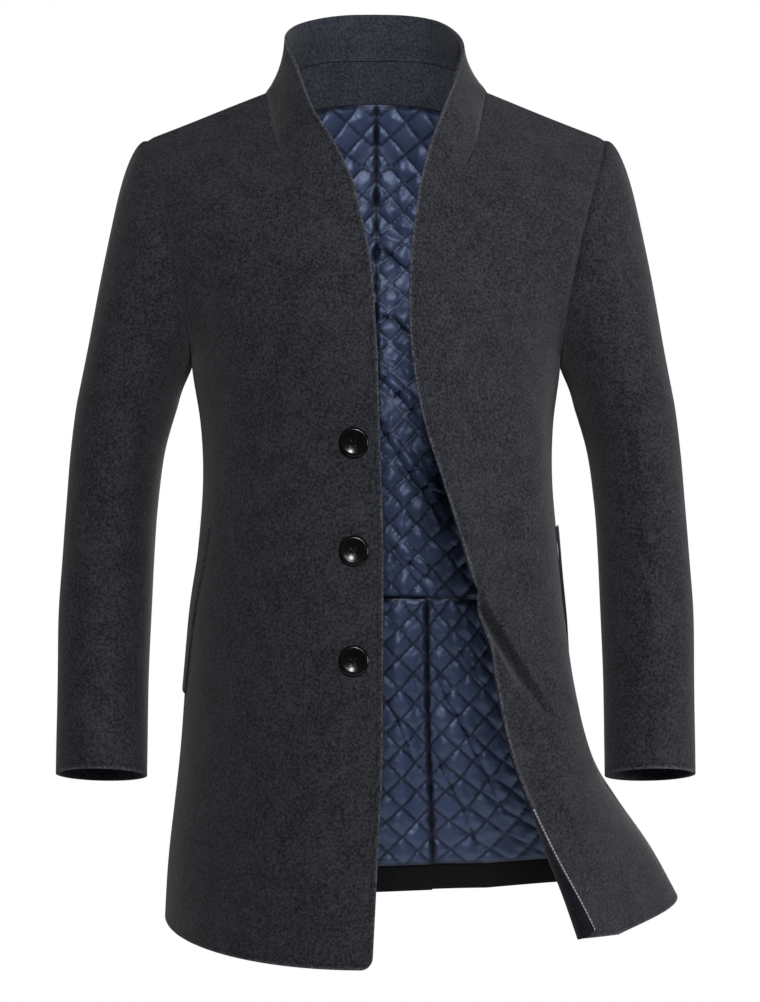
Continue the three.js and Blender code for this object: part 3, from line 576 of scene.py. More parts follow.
def sleeve_grid(side: Side, front: np.ndarray, back: np.ndarray) -> np.ndarray:
    """The sleeve's rings, from the armhole down to the cuff.

    Args:
        side: which sleeve.
        front: the front's places.
        back: the back's places.

    Returns:
        The places, (rings, around, 3).
    """
    armpit = mesh_row(ARMPIT_ROW)
    hole = np.concatenate([front[armpit:, -1], back[armpit:-1, -1][::-1]])[:-1]
    angle = (np.pi * np.arange(len(hole)) / (len(hole) / 2))[:, None]
    rings = []
    for row in SLEEVE:
        pitch = math.radians(row.pitch)
        deep = -np.sin(angle) * row.half_deep
        wide = -np.cos(angle) * row.half_wide
        offset = np.hstack([wide, deep * math.cos(pitch), -deep * math.sin(pitch)])
        rings.append(mirrored(np.array(row.at) + offset, side))
    upper = (1 - np.cos(angle)) / 2
    fall = (hole[:, 2] - rings[0][:, 2])[:, None]
    leave = np.hstack([(2 + 26 * upper) * side.value, -9 * np.sin(angle), -10 + 8 * upper])
    arrive = np.hstack([-0.085 * fall * side.value, 0 * fall, 0.42 * fall])
    handles = np.array([hole, hole + leave, rings[0] + arrive, rings[0]])
    cap = bezier(handles, np.linspace(0, 1, DIVISIONS.cap + 1)[:-1])
    lower = np.array([rings[0] + arrive, *rings])
    steps = DIVISIONS.ring_steps
    places = 1 + np.arange((len(SLEEVE) - 1) * steps + 1) / steps
    return np.concatenate([cap, smooth_line(lower, places)])


class Sheet:
    """One piece of cloth before it has a thickness.

    Its places have sinks, which is how deep each lies, flat coordinates in millimetres, and
    normals, which neighbouring pieces share along a seam.
    """

    def __init__(self) -> None:
        """Starts with no places."""
        self.points = np.zeros((0, 3))
        self.sinks = np.zeros(0)
        self.flat = np.zeros((0, 2))
        self.quads = np.zeros((0, 4), int)
        self.normals = np.zeros((0, 3))

    def add(
        self,
        grid: np.ndarray,
        flip: bool,
        sinks: np.ndarray | float = 0.0,
        known: tuple[slice, slice, np.ndarray] | None = None,
        normals: np.ndarray | None = None,
    ) -> np.ndarray:
        """Adds a grid of places.

        Args:
            grid: places, (rows, columns, 3); one that is not a number is left out.
            flip: whether its faces wind the other way.
            sinks: how deep the places lie.
            known: the rows and columns whose places are in the sheet already, and their numbers.
            normals: the places' normals, where they are known.

        Returns:
            The places' numbers, (rows, columns), -1 where there is none.
        """
        ids = np.full(grid.shape[:2], -1)
        if known is not None:
            ids[known[0], known[1]] = known[2]
        new = (ids < 0) & ~np.isnan(grid[..., 0])
        ids[new] = len(self.points) + np.arange(int(new.sum()))
        self.points = np.concatenate([self.points, grid[new]])
        self.sinks = np.concatenate([self.sinks, np.broadcast_to(sinks, new.shape)[new]])
        self.flat = np.concatenate([self.flat, flat_places(grid)[new]])
        if normals is not None:
            self.normals = np.concatenate([self.normals, normals[new]])
        corners = [ids[:-1, :-1], ids[:-1, 1:], ids[1:, 1:], ids[1:, :-1]]
        quads = np.stack(corners, -1).reshape(-1, 4)
        quads = quads[quads.min(1) >= 0]
        self.quads = np.concatenate([self.quads, quads[:, ::-1] if flip else quads])
        return ids

    def own_normals(self) -> np.ndarray:
        """The normals at the places, from this sheet's faces alone."""
        return unit(self.weighted_normals())

    def weighted_normals(self) -> np.ndarray:
        """The sums of the face normals around each place, as long as the faces are large.

        Returns:
            The sums, (n, 3).
        """
        a, b, c, d = (self.points[self.quads[:, k]] for k in range(4))
        face = np.cross(c - a, d - b)
        total = np.zeros_like(self.points)
        for k in range(4):
            np.add.at(total, self.quads[:, k], face)
        return total

    def area(self) -> float:
        """The area of the faces."""
        a, b, c, d = (self.points[self.quads[:, k]] for k in range(4))
        return float(np.linalg.norm(np.cross(c - a, d - b), axis=1).sum() / 2)

    def open_edges(self) -> np.ndarray:
        """The edges that one face uses, (n, 2), in the order in which that face runs them.

        Returns:
            The edges' place numbers.
        """
        pairs = np.concatenate([self.quads[:, [k, (k + 1) % 4]] for k in range(4)])
        pairs = pairs[pairs[:, 0] != pairs[:, 1]]
        count = len(self.points)
        forward = pairs[:, 0] * count + pairs[:, 1]
        backward = pairs[:, 1] * count + pairs[:, 0]
        return pairs[~np.isin(forward, backward)]

    def part(self, ids: np.ndarray, flip: bool) -> "Sheet":
        """A sheet over some of this one's places, which keep their normals."""
        piece = Sheet()
        piece.add(self.points[ids], flip, self.sinks[ids], normals=self.normals[ids])
        return piece

    def joined(self, other: "Sheet", axis: int) -> "Sheet":
        """This sheet and another one, with places that coincide made one.

        Args:
            other: the other sheet.
            axis: the flat coordinate along which the other sheet's cut follows this one's.

        Returns:
            The joined sheet.
        """
        both = Sheet()
        beside = other.flat + self.flat[:, axis].max() * (np.arange(2) == axis)
        points = np.concatenate([self.points, other.points])
        quads = np.concatenate([self.quads, other.quads + len(self.points)])
        keys = np.round(points * 50).astype(int)
        _, first, where = np.unique(keys, axis=0, return_index=True, return_inverse=True)
        both.points = points[first]
        both.quads = where.reshape(-1)[quads]
        both.sinks = np.concatenate([self.sinks, other.sinks])[first]
        both.flat = np.concatenate([self.flat, beside])[first]
        both.normals = np.concatenate([self.normals, other.normals])[first]
        return both


def flat_places(grid: np.ndarray) -> np.ndarray:
    """Lengths along a grid's rows and columns, for its cloth's pattern.

    Args:
        grid: places, (rows, columns, 3).

    Returns:
        The flat coordinates, (rows, columns, 2).
    """
    filled = np.nan_to_num(grid)
    across = np.linalg.norm(np.diff(filled, axis=1), axis=2)
    across[np.isnan(np.diff(grid, axis=1)).any(-1)] = 0
    along = np.linalg.norm(np.diff(filled, axis=0), axis=2)
    along[np.isnan(np.diff(grid, axis=0)).any(-1)] = 0
    s = np.concatenate([np.zeros((grid.shape[0], 1)), np.cumsum(across, axis=1)], axis=1)
    middle = along[:, along.shape[1] // 2 :].mean(1, keepdims=True)
    t = np.concatenate([np.zeros((1, 1)), np.cumsum(middle, axis=0)])
    return np.stack([s, np.broadcast_to(t, s.shape)], -1)


def share_normals(sheets: Sequence[Sheet]) -> None:
    """Gives the places of some sheets normals that are the same where they coincide.

    Args:
        sheets: the pieces that meet.
    """
    keys = np.round(np.concatenate([sheet.points for sheet in sheets]) * 50).astype(int)
    weighted = np.concatenate([sheet.weighted_normals() for sheet in sheets])
    _, where = np.unique(keys, axis=0, return_inverse=True)
    where = where.reshape(-1)
    total = np.zeros((where.max() + 1, 3))
    np.add.at(total, where, weighted)
    shared = unit(total)[where]
    start = 0
    for sheet in sheets:
        sheet.normals = shared[start : start + len(sheet.points)]
        start += len(sheet.points)


@dataclass
class Form:
    """A closed form in millimetres: places, faces and flat coordinates."""

    points: np.ndarray
    faces: list[list[int]]
    flat: np.ndarray
    values: dict[str, np.ndarray] = field(default_factory=dict)


def wall(
    sheet: Sheet,
    thickness: float,
    depth: float = 0.0,
    rise: np.ndarray | None = None,
    values: dict[str, np.ndarray] | None = None,
) -> Form:
    """Gives a sheet its thickness, with rims that close its edges.

    Args:
        sheet: the cloth.
        thickness: the wall's thickness.
        depth: how deep its outer face lies below the sheet's places.
        rise: how far the inner face stands further in at each place.
        values: numbers at each place that a material reads.

    Returns:
        The closed form.
    """
    own = sheet.own_normals()
    mitre = 1 / np.maximum(0.55, (sheet.normals * own).sum(1))
    sunk = (depth + sheet.sinks) * mitre
    lift = np.zeros(len(sheet.points)) if rise is None else rise
    outer = sheet.points - sheet.normals * sunk[:, None]
    inner = sheet.points - sheet.normals * (sunk + thickness * mitre + lift)[:, None]
    count = len(sheet.points)
    edges = sheet.open_edges()
    rims = np.stack([edges[:, 1], edges[:, 0], edges[:, 0] + count, edges[:, 1] + count], 1)
    faces = np.concatenate([sheet.quads, sheet.quads[:, ::-1] + count, rims])
    doubled = {name: np.concatenate([value, value]) for name, value in (values or {}).items()}
    points = np.concatenate([outer, inner])
    flat = np.concatenate([sheet.flat, sheet.flat])
    return Form(points, [without_repeats(face) for face in faces.tolist()], flat, doubled)


def without_repeats(face: list[int]) -> list[int]:
    """A face's places, with one that follows itself named once."""
    return [place for k, place in enumerate(face) if place != face[k - 1]]


class Nearness(NamedTuple):
    """Where places lie by a line in front view: how far off, how far along and on which side."""

    gap: np.ndarray
    share: np.ndarray
    above: np.ndarray
    lower_way: np.ndarray


def nearness(points: np.ndarray, line: Sequence[tuple[float, float]]) -> Nearness:
    """Measures places against a line of (x, z) places.

    Args:
        points: the places, (n, 3).
        line: the line's places in front view.

    Returns:
        How each place lies by the line.
    """
    ends = np.array(line, float)
    lengths = np.linalg.norm(np.diff(ends, axis=0), axis=1)
    gap = np.full(len(points), np.inf)
    share, above = np.zeros(len(points)), np.ones(len(points))
    lower_way = np.zeros((len(points), 3))
    done = 0.0
    for k, length in enumerate(lengths):
        along = (ends[k + 1] - ends[k]) / length
        offset = points[:, [0, 2]] - ends[k]
        run = np.clip(offset @ along, 0, length)
        off = np.linalg.norm(offset - run[:, None] * along, axis=1)
        nearer = off < gap
        turn = math.copysign(1, along[0])
        side = np.sign(along[0] * offset[:, 1] - along[1] * offset[:, 0])
        above = np.where(nearer, side * turn, above)
        lower_way[nearer] = [turn * along[1], 0.0, -turn * along[0]]
        gap = np.where(nearer, off, gap)
        share = np.where(nearer, (done + run) / lengths.sum(), share)
        done += length
    return Nearness(gap, share, above, lower_way)


def fold_moves(
    points: np.ndarray, normals: np.ndarray, folds: Sequence[Fold]
) -> tuple[np.ndarray, np.ndarray]:
    """How far folds lift the places of a sheet, and how they slide them sideways.

    Args:
        points: the places, (n, 3).
        normals: their normals.
        folds: the folds.

    Returns:
        The lift along the normals, (n,), and the slide, (n, 3).
    """
    total = np.zeros(len(points))
    slide = np.zeros((len(points), 3))
    for fold in folds:
        by = nearness(points, fold.line)
        facing = smoothstep(0.0, 0.5, -normals[:, 1] if fold.front else normals[:, 1])
        strength = np.sin(np.pi * np.clip(by.share, 0.02, 0.98)) ** 0.6 * facing
        if fold.drop > 0:
            across = np.tanh(by.above * by.gap / 2.2)
            upper = fold.height * np.exp(-by.gap / fold.width)
            lower = fold.drop * np.exp(-by.gap / (0.55 * fold.width))
            total += strength * np.where(across > 0, upper * across, lower * across)
            hang = fold.over * np.maximum(across, 0) * np.exp(-by.gap / (0.8 * fold.width))
            slide += (strength * hang)[:, None] * by.lower_way
        else:
            total += strength * fold.height * np.exp(-((by.gap / fold.width) ** 2))
    return total, slide


def unevenness(points: np.ndarray) -> np.ndarray:
    """A slow, slight rise and fall of hanging cloth, the same where pieces meet."""
    x, y, z = (points * 0.01).T
    slow = 0.55 * np.sin(1.9 * z + 1.3 * x + 0.7) + 0.45 * np.sin(2.9 * x - 0.8 * z + 1.1 * y)
    quick = 0.22 * np.sin(4.7 * x + 2.1 * z + 2.0) + 0.18 * np.sin(5.9 * z - 3.1 * y + 0.4)
    return slow + quick


SHELL_FOLDS = {
    "front_left": [
        Fold(
            ((62, -430), (96, -490), (119, -529), (143, -570), (164, -602)),
            height=11.0,
            width=15,
            drop=15,
            over=7,
        ),
        Fold(((88, -500), (102, -528), (116, -554), (132, -584)), 4.5, 5),
        Fold(((96, -545), (120, -578), (146, -612), (176, -640)), 2.5, 15),
        Fold(((152, -560), (165, -578), (190, -604), (210, -622)), 4.0, 12, drop=2.5, over=2),
        Fold(((98, -26), (96, -60), (84, -106)), 1.5, 5),
        Fold(((150, -640), (186, -690), (222, -730)), 2.2, 16),
        Fold(((72, -170), (62, -240), (66, -330), (84, -420)), 2.5, 16),
        Fold(((150, -150), (168, -215), (160, -290)), -2.0, 15),
        Fold(((120, -270), (150, -330), (168, -400)), 1.8, 18),
    ],
    "front_right": [
        Fold(((-60, -160), (-46, -250), (-44, -330)), 2.0, 18),
        Fold(((-150, -150), (-168, -215), (-160, -290)), -2.0, 15),
        Fold(((-118, -250), (-132, -340), (-134, -430)), 1.8, 22),
        Fold(((-40, -600), (-52, -700), (-50, -800)), 1.6, 20),
        Fold(((-140, -620), (-150, -720), (-154, -815)), -1.8, 22),
    ],
    "back_right": [
        Fold(((-150, -200), (-120, -300), (-95, -380)), 3.4, 15, False),
        Fold(((-20, -380), (-80, -420), (-150, -440)), 3.8, 13, False),
        Fold(((-30, -420), (-90, -462), (-160, -480)), -3.4, 12, False),
        Fold(((-120, -560), (-130, -680), (-140, -800)), 3.6, 22, False),
        Fold(((-60, -600), (-64, -700), (-70, -800)), -3.0, 18, False),
    ],
    "back_left": [
        Fold(((150, -210), (118, -296), (92, -366)), 3.6, 15, False),
        Fold(((24, -372), (84, -408), (156, -424)), 4.0, 14, False),
        Fold(((34, -412), (96, -448), (164, -462)), -3.4, 11, False),
        Fold(((110, -560), (140, -680), (190, -790)), 4.4, 21, False),
        Fold(((70, -600), (84, -700), (104, -800)), -3.6, 18, False),
    ],
    "sleeve_left": [
        Fold(((226, -330), (252, -372), (286, -392)), 2.0, 11),
        Fold(((232, -420), (262, -452), (296, -462)), 2.6, 11),
        Fold(((236, -446), (266, -476), (298, -486)), -2.2, 9),
        Fold(((240, -480), (268, -512), (298, -520)), 1.8, 11),
        Fold(((288, -560), (268, -606), (250, -640)), 1.6, 13),
        Fold(((236, -150), (262, -220), (272, -300)), 1.8, 16),
        Fold(((236, -350), (266, -400), (300, -420)), 2.4, 12, False),
        Fold(((238, -440), (268, -470), (300, -500)), 2.2, 12, False),
        Fold(((240, -470), (270, -500), (300, -526)), -2.0, 10, False),
    ],
    "sleeve_right": [
        Fold(((-226, -340), (-250, -378), (-284, -402)), 1.8, 11),
        Fold(((-230, -430), (-262, -458), (-296, -474)), 2.4, 11),
        Fold(((-234, -458), (-266, -484), (-298, -498)), -2.0, 9),
        Fold(((-242, -494), (-268, -520), (-298, -534)), 1.6, 11),
        Fold(((-290, -570), (-270, -612), (-252, -646)), 1.6, 13),
        Fold(((-236, -160), (-260, -226), (-272, -306)), 1.8, 16),
        Fold(((-236, -358), (-266, -404), (-300, -430)), 2.4, 12, False),
        Fold(((-238, -446), (-268, -478), (-300, -504)), 2.2, 12, False),
        Fold(((-240, -478), (-270, -506), (-300, -532)), -2.0, 10, False),
    ],
}


class Shell:
    """The wool shell: fronts with their collar halves, backs and two-piece sleeves."""

    def __init__(self) -> None:
        """Cuts both sides' pieces and lays the folds in them."""
        self.sheets: dict[str, Sheet] = {}
        self.ids: dict[str, np.ndarray] = {}
        self.flips: dict[str, bool] = {}
        for side in Side:
            self.cut_panels(side)
        sheets = list(self.sheets.values())
        share_normals(sheets)
        self.crease()
        share_normals(sheets)

    def cut_panels(self, side: Side) -> None:
        """Cuts one side's front, back and sleeve.

        Args:
            side: which side.
        """
        name = side.label
        front, back = front_grid(side), back_grid(side)
        collar = collar_grid(side, front, back)
        strip = DIVISIONS.strip
        dart = mesh_row(DART_ROW)
        sheet = Sheet()
        flip = side is Side.RIGHT
        ids = sheet.add(front, flip)
        start = (slice(0, 1), slice(None), ids[dart : dart + 1, : strip + 1])
        self.ids[f"collar_{name}"] = sheet.add(collar, flip, known=start)
        self.keep(f"front_{name}", sheet, ids, flip)
        sheet = Sheet()
        flip = side is Side.LEFT
        vent = mesh_row(VENT_ROW)
        shape = back.shape[:2]
        if side is Side.RIGHT:
            near = np.clip(1 - np.arange(shape[1]) / (strip / 4), 0, 1)
            below = np.clip((vent - np.arange(shape[0])) / FINE, 0, 1)
            ids = sheet.add(back, flip, CLOTH.underlap * below[:, None] * near)
            other = back_grid(Side.LEFT)
            rows = vent - FINE + 1
            lap = other[:rows, : DIVISIONS.lap + 1]
            known = (slice(None), slice(0, 1), ids[:rows, :1])
            self.ids["lap"] = sheet.add(lap, True, CLOTH.underlap, known)
        else:
            ids = sheet.add(back, flip)
        self.keep(f"back_{name}", sheet, ids, flip)
        rings = sleeve_grid(side, front, back)
        around = rings.shape[1]
        half = DIVISIONS.under_sleeve
        under = np.arange(-half, half + 1) % around
        upper = np.arange(half, around - half + 1) % around
        for part, columns in (("under", under), ("upper", upper)):
            sheet = Sheet()
            ids = sheet.add(rings[:, columns], side is Side.LEFT)
            self.keep(f"sleeve_{part}_{name}", sheet, ids, side is Side.LEFT)

    def keep(self, name: str, sheet: Sheet, ids: np.ndarray, flip: bool) -> None:
        """Keeps a cut piece, its grid of places and the way it winds."""
        self.sheets[name] = sheet
        self.ids[name] = ids
        self.flips[name] = flip

    def edge_nearness(self, name: str) -> np.ndarray:
        """1 at a piece's free edges, less further in, and 0 beyond the band where light is painted.

        Args:
            name: the piece.

        Returns:
            The nearness at each place.
        """
        sheet, ids = self.sheets[name], self.ids[name]
        across, along = sheet.flat[ids][..., 0], sheet.flat[ids][..., 1]
        rows = np.arange(len(ids))[:, None] + 0 * ids
        if name.startswith("sleeve"):
            gap = along.max() - along
        elif name.startswith("front"):
            gap = np.where(rows <= mesh_row(DART_ROW), np.minimum(across, along), EDGE_LIGHT_BAND)
        else:
            # Back seams and the vent edge take only the painted shade line; the hem takes it and
            # the painted highlight.
            gap = np.minimum(across + SEAM_SHADE, along)
        gaps = np.full(len(sheet.points), EDGE_LIGHT_BAND)
        gaps[ids[ids >= 0]] = gap[ids >= 0]
        if name.startswith("front"):
            collar = self.ids[name.replace("front", "collar")][1:]
            wide = sheet.flat[collar][..., 0]
            gaps[collar] = wide
            # A painted highlight along the left neck dart, where the turned edge catches the light.
            if name == "front_left":
                turned = wide[:, -1:] - wide
                rows = np.arange(len(collar))[:, None]
                on_dart = (turned < 3) & (rows > FINE) & (rows < len(ids) - mesh_row(DART_ROW))
                gaps[collar] = np.where(on_dart, 0.8 + 0.9 * turned, wide)
        return np.clip(1 - gaps / EDGE_LIGHT_BAND, 0, 1)

    def front_length(self, name: str) -> float | None:
        """A front's length from its hem up round its half of the collar; none for other pieces."""
        if not name.startswith("front"):
            return None
        sheet, dart = self.sheets[name], mesh_row(DART_ROW)
        collar = self.ids[name.replace("front", "collar")]
        return float(sheet.flat[self.ids[name][dart, -1], 1] + sheet.flat[collar[-1, 0], 1])

    def seam_dip(self, name: str) -> np.ndarray:
        """How far the cloth draws in at a piece's armhole seam and at its neck dart.

        Args:
            name: the piece.

        Returns:
            The dip at each place, in millimetres.
        """
        sheet, ids = self.sheets[name], self.ids[name]
        dip = np.zeros(len(sheet.points))
        if name.startswith("sleeve"):
            rows = np.arange(len(ids), dtype=float)[:, None] + 0 * ids
            dip[ids] = SEAM_DIP * np.exp(-((rows / 1.6) ** 2))
            return dip
        across = sheet.flat[ids][..., 0]
        gap = across[:, -1:] - across
        high = smoothstep(0, 2 * FINE, np.arange(len(ids)) - mesh_row(ARMPIT_ROW) + 0.0)[:, None]
        near = SEAM_DIP * np.exp(-((gap / 4.0) ** 2)) * high
        dip[ids[ids >= 0]] = near[ids >= 0]
        if name.startswith("front"):
            collar = self.ids[name.replace("front", "collar")]
            rows = np.arange(len(collar), dtype=float)[:, None]
            fade = smoothstep(0, 2 * FINE, rows) * smoothstep(0, FINE, len(ids) - 1 - rows)
            wide = sheet.flat[collar][..., 0]
            dip[collar[1:]] = (DART_DIP * np.exp(-(((wide[:, -1:] - wide) / 3.5) ** 2)) * fade)[1:]
        return dip

    def crease(self) -> None:
        """Puts the folds in, fading out towards the seams, and the cloth's unevenness."""
        for name, sheet in self.sheets.items():
            key = name.replace("under_", "").replace("upper_", "")
            rise, slide = fold_moves(sheet.points, sheet.normals, SHELL_FOLDS[key])
            fade = np.ones(len(sheet.points))
            ids = self.ids[name]
            columns = np.arange(ids.shape[1])
            near_seam = smoothstep(0, 5, ids.shape[1] - 1.0 - columns)
            if name.startswith("sleeve"):
                near_seam = near_seam * smoothstep(0, 5, columns.astype(float))
            if name.startswith("back"):
                near_seam = near_seam * smoothstep(0, 5, columns.astype(float))
            valid = ids >= 0
            fade[ids[valid]] = np.broadcast_to(near_seam, ids.shape)[valid]
            if name.startswith("sleeve"):
                top = smoothstep(0, 8, np.arange(ids.shape[0]).astype(float))
                fade[ids] = np.minimum(fade[ids], top[:, None])
            if "lap" in self.ids and name == "back_right":
                fade[self.ids["lap"]] = 0
            lift = rise * fade + 0.8 * unevenness(sheet.points) - self.seam_dip(name)
            sheet.points = sheet.points + sheet.normals * lift[:, None] + slide * fade[:, None]


@dataclass(frozen=True)
class Quilting:
    """The lining's quilting, in millimetres: half a diamond, its rise and its mesh."""

    half: float = 16.0
    rise: float = 4.0
    fineness: int = 8
    margin: float = 9.0
    pucker: float = 0.45
    crumple: float = 0.95
    sway: float = 2.4
    room: float = 2.5
    # How far below a fold's line the painted shadow reaches.
    foot: float = 3.4


LINING_FOLDS = [
    Fold(((0, -142), (16, -150), (34, -168)), 5.0, 9, drop=4),
    Fold(((2, -212), (22, -222), (44, -246)), 4.0, 9, drop=3),
    Fold(((2, -278), (25, -300), (44, -322)), 6.0, 9, drop=4),
    Fold(((0, -326), (25, -361), (52, -404), (82, -452)), 8.0, 12, drop=5),
    Fold(((30, -372), (56, -398), (84, -408)), 4.0, 9, drop=3),
    Fold(((2, -440), (30, -470), (70, -500)), 5.0, 10, drop=3.5),
    Fold(((-4, -190), (-30, -222)), 4.0, 8, drop=3),
    Fold(((-4, -256), (-40, -292)), 4.0, 8, drop=3),
    Fold(((-2, -400), (-50, -432)), 4.0, 9, drop=3),
    Fold(((62, -588), (100, -664), (138, -741)), 8.0, 14, drop=5),
    Fold(((84, -560), (120, -606), (150, -660)), 5.0, 12, drop=3),
    Fold(((66, -680), (96, -742), (112, -790)), 5.0, 11, drop=3),
    Fold(((18, -530), (26, -640), (20, -730), (26, -800)), 6.0, 15),
    Fold(((44, -540), (40, -640), (46, -760)), -2.4, 8),
    Fold(((2, -600), (24, -640), (40, -690)), 3.0, 8, drop=2.5),
    Fold(((-70, -560), (-96, -640), (-100, -720)), 2.5, 14),
]
QUILTING = Quilting()


def resampled(grid: np.ndarray, columns: int, rows: int, margin: float) -> np.ndarray:
    """A grid at even shares of each row's length, short of its end, and of its first column.

    Args:
        grid: the places.
        columns: how many columns to make.
        rows: how many rows to make.
        margin: how far short of each row's end the last column lies.

    Returns:
        The new grid.
    """
    lengths = np.linalg.norm(np.diff(grid, axis=1), axis=2)
    along = np.concatenate([np.zeros((len(grid), 1)), np.cumsum(lengths, axis=1)], axis=1)
    out = np.empty((len(grid), columns + 1, grid.shape[2]))
    share = np.linspace(0, 1, columns + 1)
    for r, line in enumerate(grid):
        z = line[0, 2]
        sway = np.sin(z / 31 + 5 * share) + 0.6 * np.sin(z / 14 - 9 * share)
        wanted = share * (along[r, -1] - margin) + QUILTING.sway * np.sin(np.pi * share) * sway
        for axis in range(grid.shape[2]):
            out[r, :, axis] = np.interp(wanted, along[r], line[:, axis])
    steps = np.linalg.norm(np.diff(grid[:, 0], axis=0), axis=1)
    height = np.concatenate([[0], np.cumsum(steps)])
    places = np.interp(np.linspace(0, height[-1], rows + 1), height, np.arange(len(grid)))
    low = np.clip(np.floor(places).astype(int), 0, len(grid) - 2)
    part = (places - low).reshape(-1, 1, 1)
    return out[low] * (1 - part) + out[low + 1] * part


class Lining:
    """A quilted piece of the back's lining."""

    def __init__(self, grid: np.ndarray, normals: np.ndarray, flip: bool) -> None:
        """Lays the piece inside some of the back's places.

        Args:
            grid: the back's places under the piece, lowest row first.
            normals: the places' normals.
            flip: whether its faces wind the other way.
        """
        length = np.linalg.norm(np.diff(grid[len(grid) // 2], axis=0), axis=1).sum()
        height = np.linalg.norm(np.diff(grid[:, 0], axis=0), axis=1).sum()
        self.cells = (round(length / QUILTING.half), round(height / QUILTING.half))
        columns, rows = (cells * QUILTING.fineness for cells in self.cells)
        both = resampled(np.concatenate([grid, normals], axis=2), columns, rows, QUILTING.margin)
        places, facing = both[..., :3], unit(both[..., 3:])
        flat_out = places.reshape(-1, 3)
        folds, _ = fold_moves(flat_out, -facing.reshape(-1, 3), LINING_FOLDS)
        lift = np.maximum(folds, -QUILTING.room).reshape(places.shape[:2])
        # The foot of each overlap fold, below its line, where a painted shadow is laid in the
        # satin's colour.
        foot = np.zeros(len(flat_out))
        for fold in LINING_FOLDS:
            by = nearness(flat_out, fold.line)
            low = np.exp(-((by.gap / QUILTING.foot) ** 2)) * (by.above < 0) * (fold.drop > 0)
            ends = smoothstep(0, 0.15, by.share) * smoothstep(0, 0.2, 1 - by.share)
            foot = np.maximum(foot, low * ends)
        self.foot = foot.reshape(places.shape[:2])
        depth = CLOTH.shell + CLOTH.lining_room + QUILTING.room + lift
        self.sheet = Sheet()
        self.ids = self.sheet.add(places - facing * depth[..., None], flip)

    def stitch_lines(self, form: Form) -> list[np.ndarray]:
        """The two families of diagonal lines on the piece's inner face, along which it is sewn.

        Args:
            form: the piece with its thickness.

        Returns:
            The lines' places in millimetres.
        """
        inner = form.points[len(self.sheet.points) :][self.ids]
        step = 2 * QUILTING.fineness
        rows, columns = self.ids.shape
        lines = []
        for grid in (inner, inner[:, ::-1]):
            shift = 0 if grid is inner else (columns - 1) % step
            first = -(rows // step + 1) * step + shift
            for start in range(first, columns, step):
                low = max(0, -start)
                high = min(rows, columns - start)
                if high - low > QUILTING.fineness:
                    run = np.arange(low, high)
                    lines.append(grid[run, start + run])
        return lines

    def form(self) -> Form:
        """The piece with its thickness and its raised, puckered diamonds.

        Returns:
            The closed form, with the attribute that its satin reads.
        """
        rows, columns = self.ids.shape
        step = 1 / QUILTING.fineness
        a = np.arange(columns) * step
        b = (np.arange(rows) * step)[:, None]
        one = np.abs(np.sin(np.pi * (a + b) / 2))
        other = np.abs(np.sin(np.pi * (a - b) / 2))
        pillow = (one * other) ** 0.5
        wander = 0.14 * np.sin(5.3 * b + 1.1) + 0.10 * np.sin(9.7 * b)
        margin = np.minimum(
            np.minimum(a * (1 + wander), self.cells[0] - a), np.minimum(b, self.cells[1] - b)
        )
        near_edge = smoothstep(0.0, 0.4, margin)
        pull_one = np.sin(12.4 * (a - b) + 3 * np.sin(0.9 * (a + b))) * np.exp(-((one / 0.5) ** 2))
        pull_other = np.sin(11.1 * (a + b) + 3 * np.sin(1.1 * (a - b))) * np.exp(
            -((other / 0.5) ** 2)
        )
        crumple = np.sin(3.1 * a + 2.4 * np.sin(1.3 * b)) * np.sin(2.3 * b + 1.9 * np.sin(1.7 * a))
        ridge = 1 - np.abs(np.sin(1.9 * a + 1.1 * b + 1.6 * np.sin(0.8 * b - 0.5 * a)))
        puff = 0.85 + 0.35 * np.sin(0.9 * a + 1.3 * np.sin(0.7 * b)) * np.sin(0.8 * b + 0.5)
        rise = near_edge * (
            QUILTING.rise * puff * pillow
            + QUILTING.pucker * (pull_one + pull_other)
            + QUILTING.crumple * (crumple + 1.2 * ridge**3) * (0.35 + 0.65 * pillow)
        )
        rise = np.maximum(rise, 0)
        flat = np.stack([a + 0 * b, b + 0 * a], -1) * QUILTING.half
        order = self.ids.reshape(-1)
        self.sheet.flat[order] = flat.reshape(-1, 2)
        lift = np.zeros(len(self.sheet.points))
        lift[order] = rise.reshape(-1)
        stitch = np.zeros(len(self.sheet.points))
        # Painted shade: darker in the quilted valleys, along the piece's seams and at the foot of
        # each fold, a little lighter where the pillows puff up.
        shade = np.minimum(0.14 + 0.12 * puff + 0.8 * np.minimum(one, other), 1.5 * margin)
        shade = shade * (1 - 0.85 * self.foot)
        stitch[order] = shade.reshape(-1)
        return wall(self.sheet, CLOTH.lining, rise=lift, values={"stitch": stitch})


@dataclass(frozen=True)
class Dye:
    """A named finish: the material's name, its record slot and its colours as hex numbers."""

    name: str
    slot: str
    dark: int
    light: int


WOOL = Dye("charcoal_melange_wool", "wool", 0x17181B, 0x3A3B42)
# The shell's charcoal wool on the inner collar, neck facing and cuff facings, painted lighter to
# stand for the light they take.
WOOL_INSIDE_PAINTED_LIGHT = Dye("charcoal_wool_facing", "wool_inside", 0x25282F, 0x434853)
FRONT_FACING = Dye("dark_navy_front_facing", "wool_inside", 0x0A0B10, 0x171A24)
# The hem facing is the shell's wool, painted near black for the shade it lies in.
HEM_WOOL_PAINTED_SHADE = Dye("dark_hem_tape_wool", "wool_inside", 0x07080A, 0x0E0F12)
# The dark colour is painted shade in the quilted valleys; the light colour is the satin's own.
SATIN = Dye("navy_quilted_satin", "satin", 0x1D2436, 0x3C4966)
HORN = Dye("black_horn_resin", "horn", 0x060607, 0x0E0E10)
THREAD = Dye("navy_quilting_thread", "satin", 0x10162A, 0x1B2340)
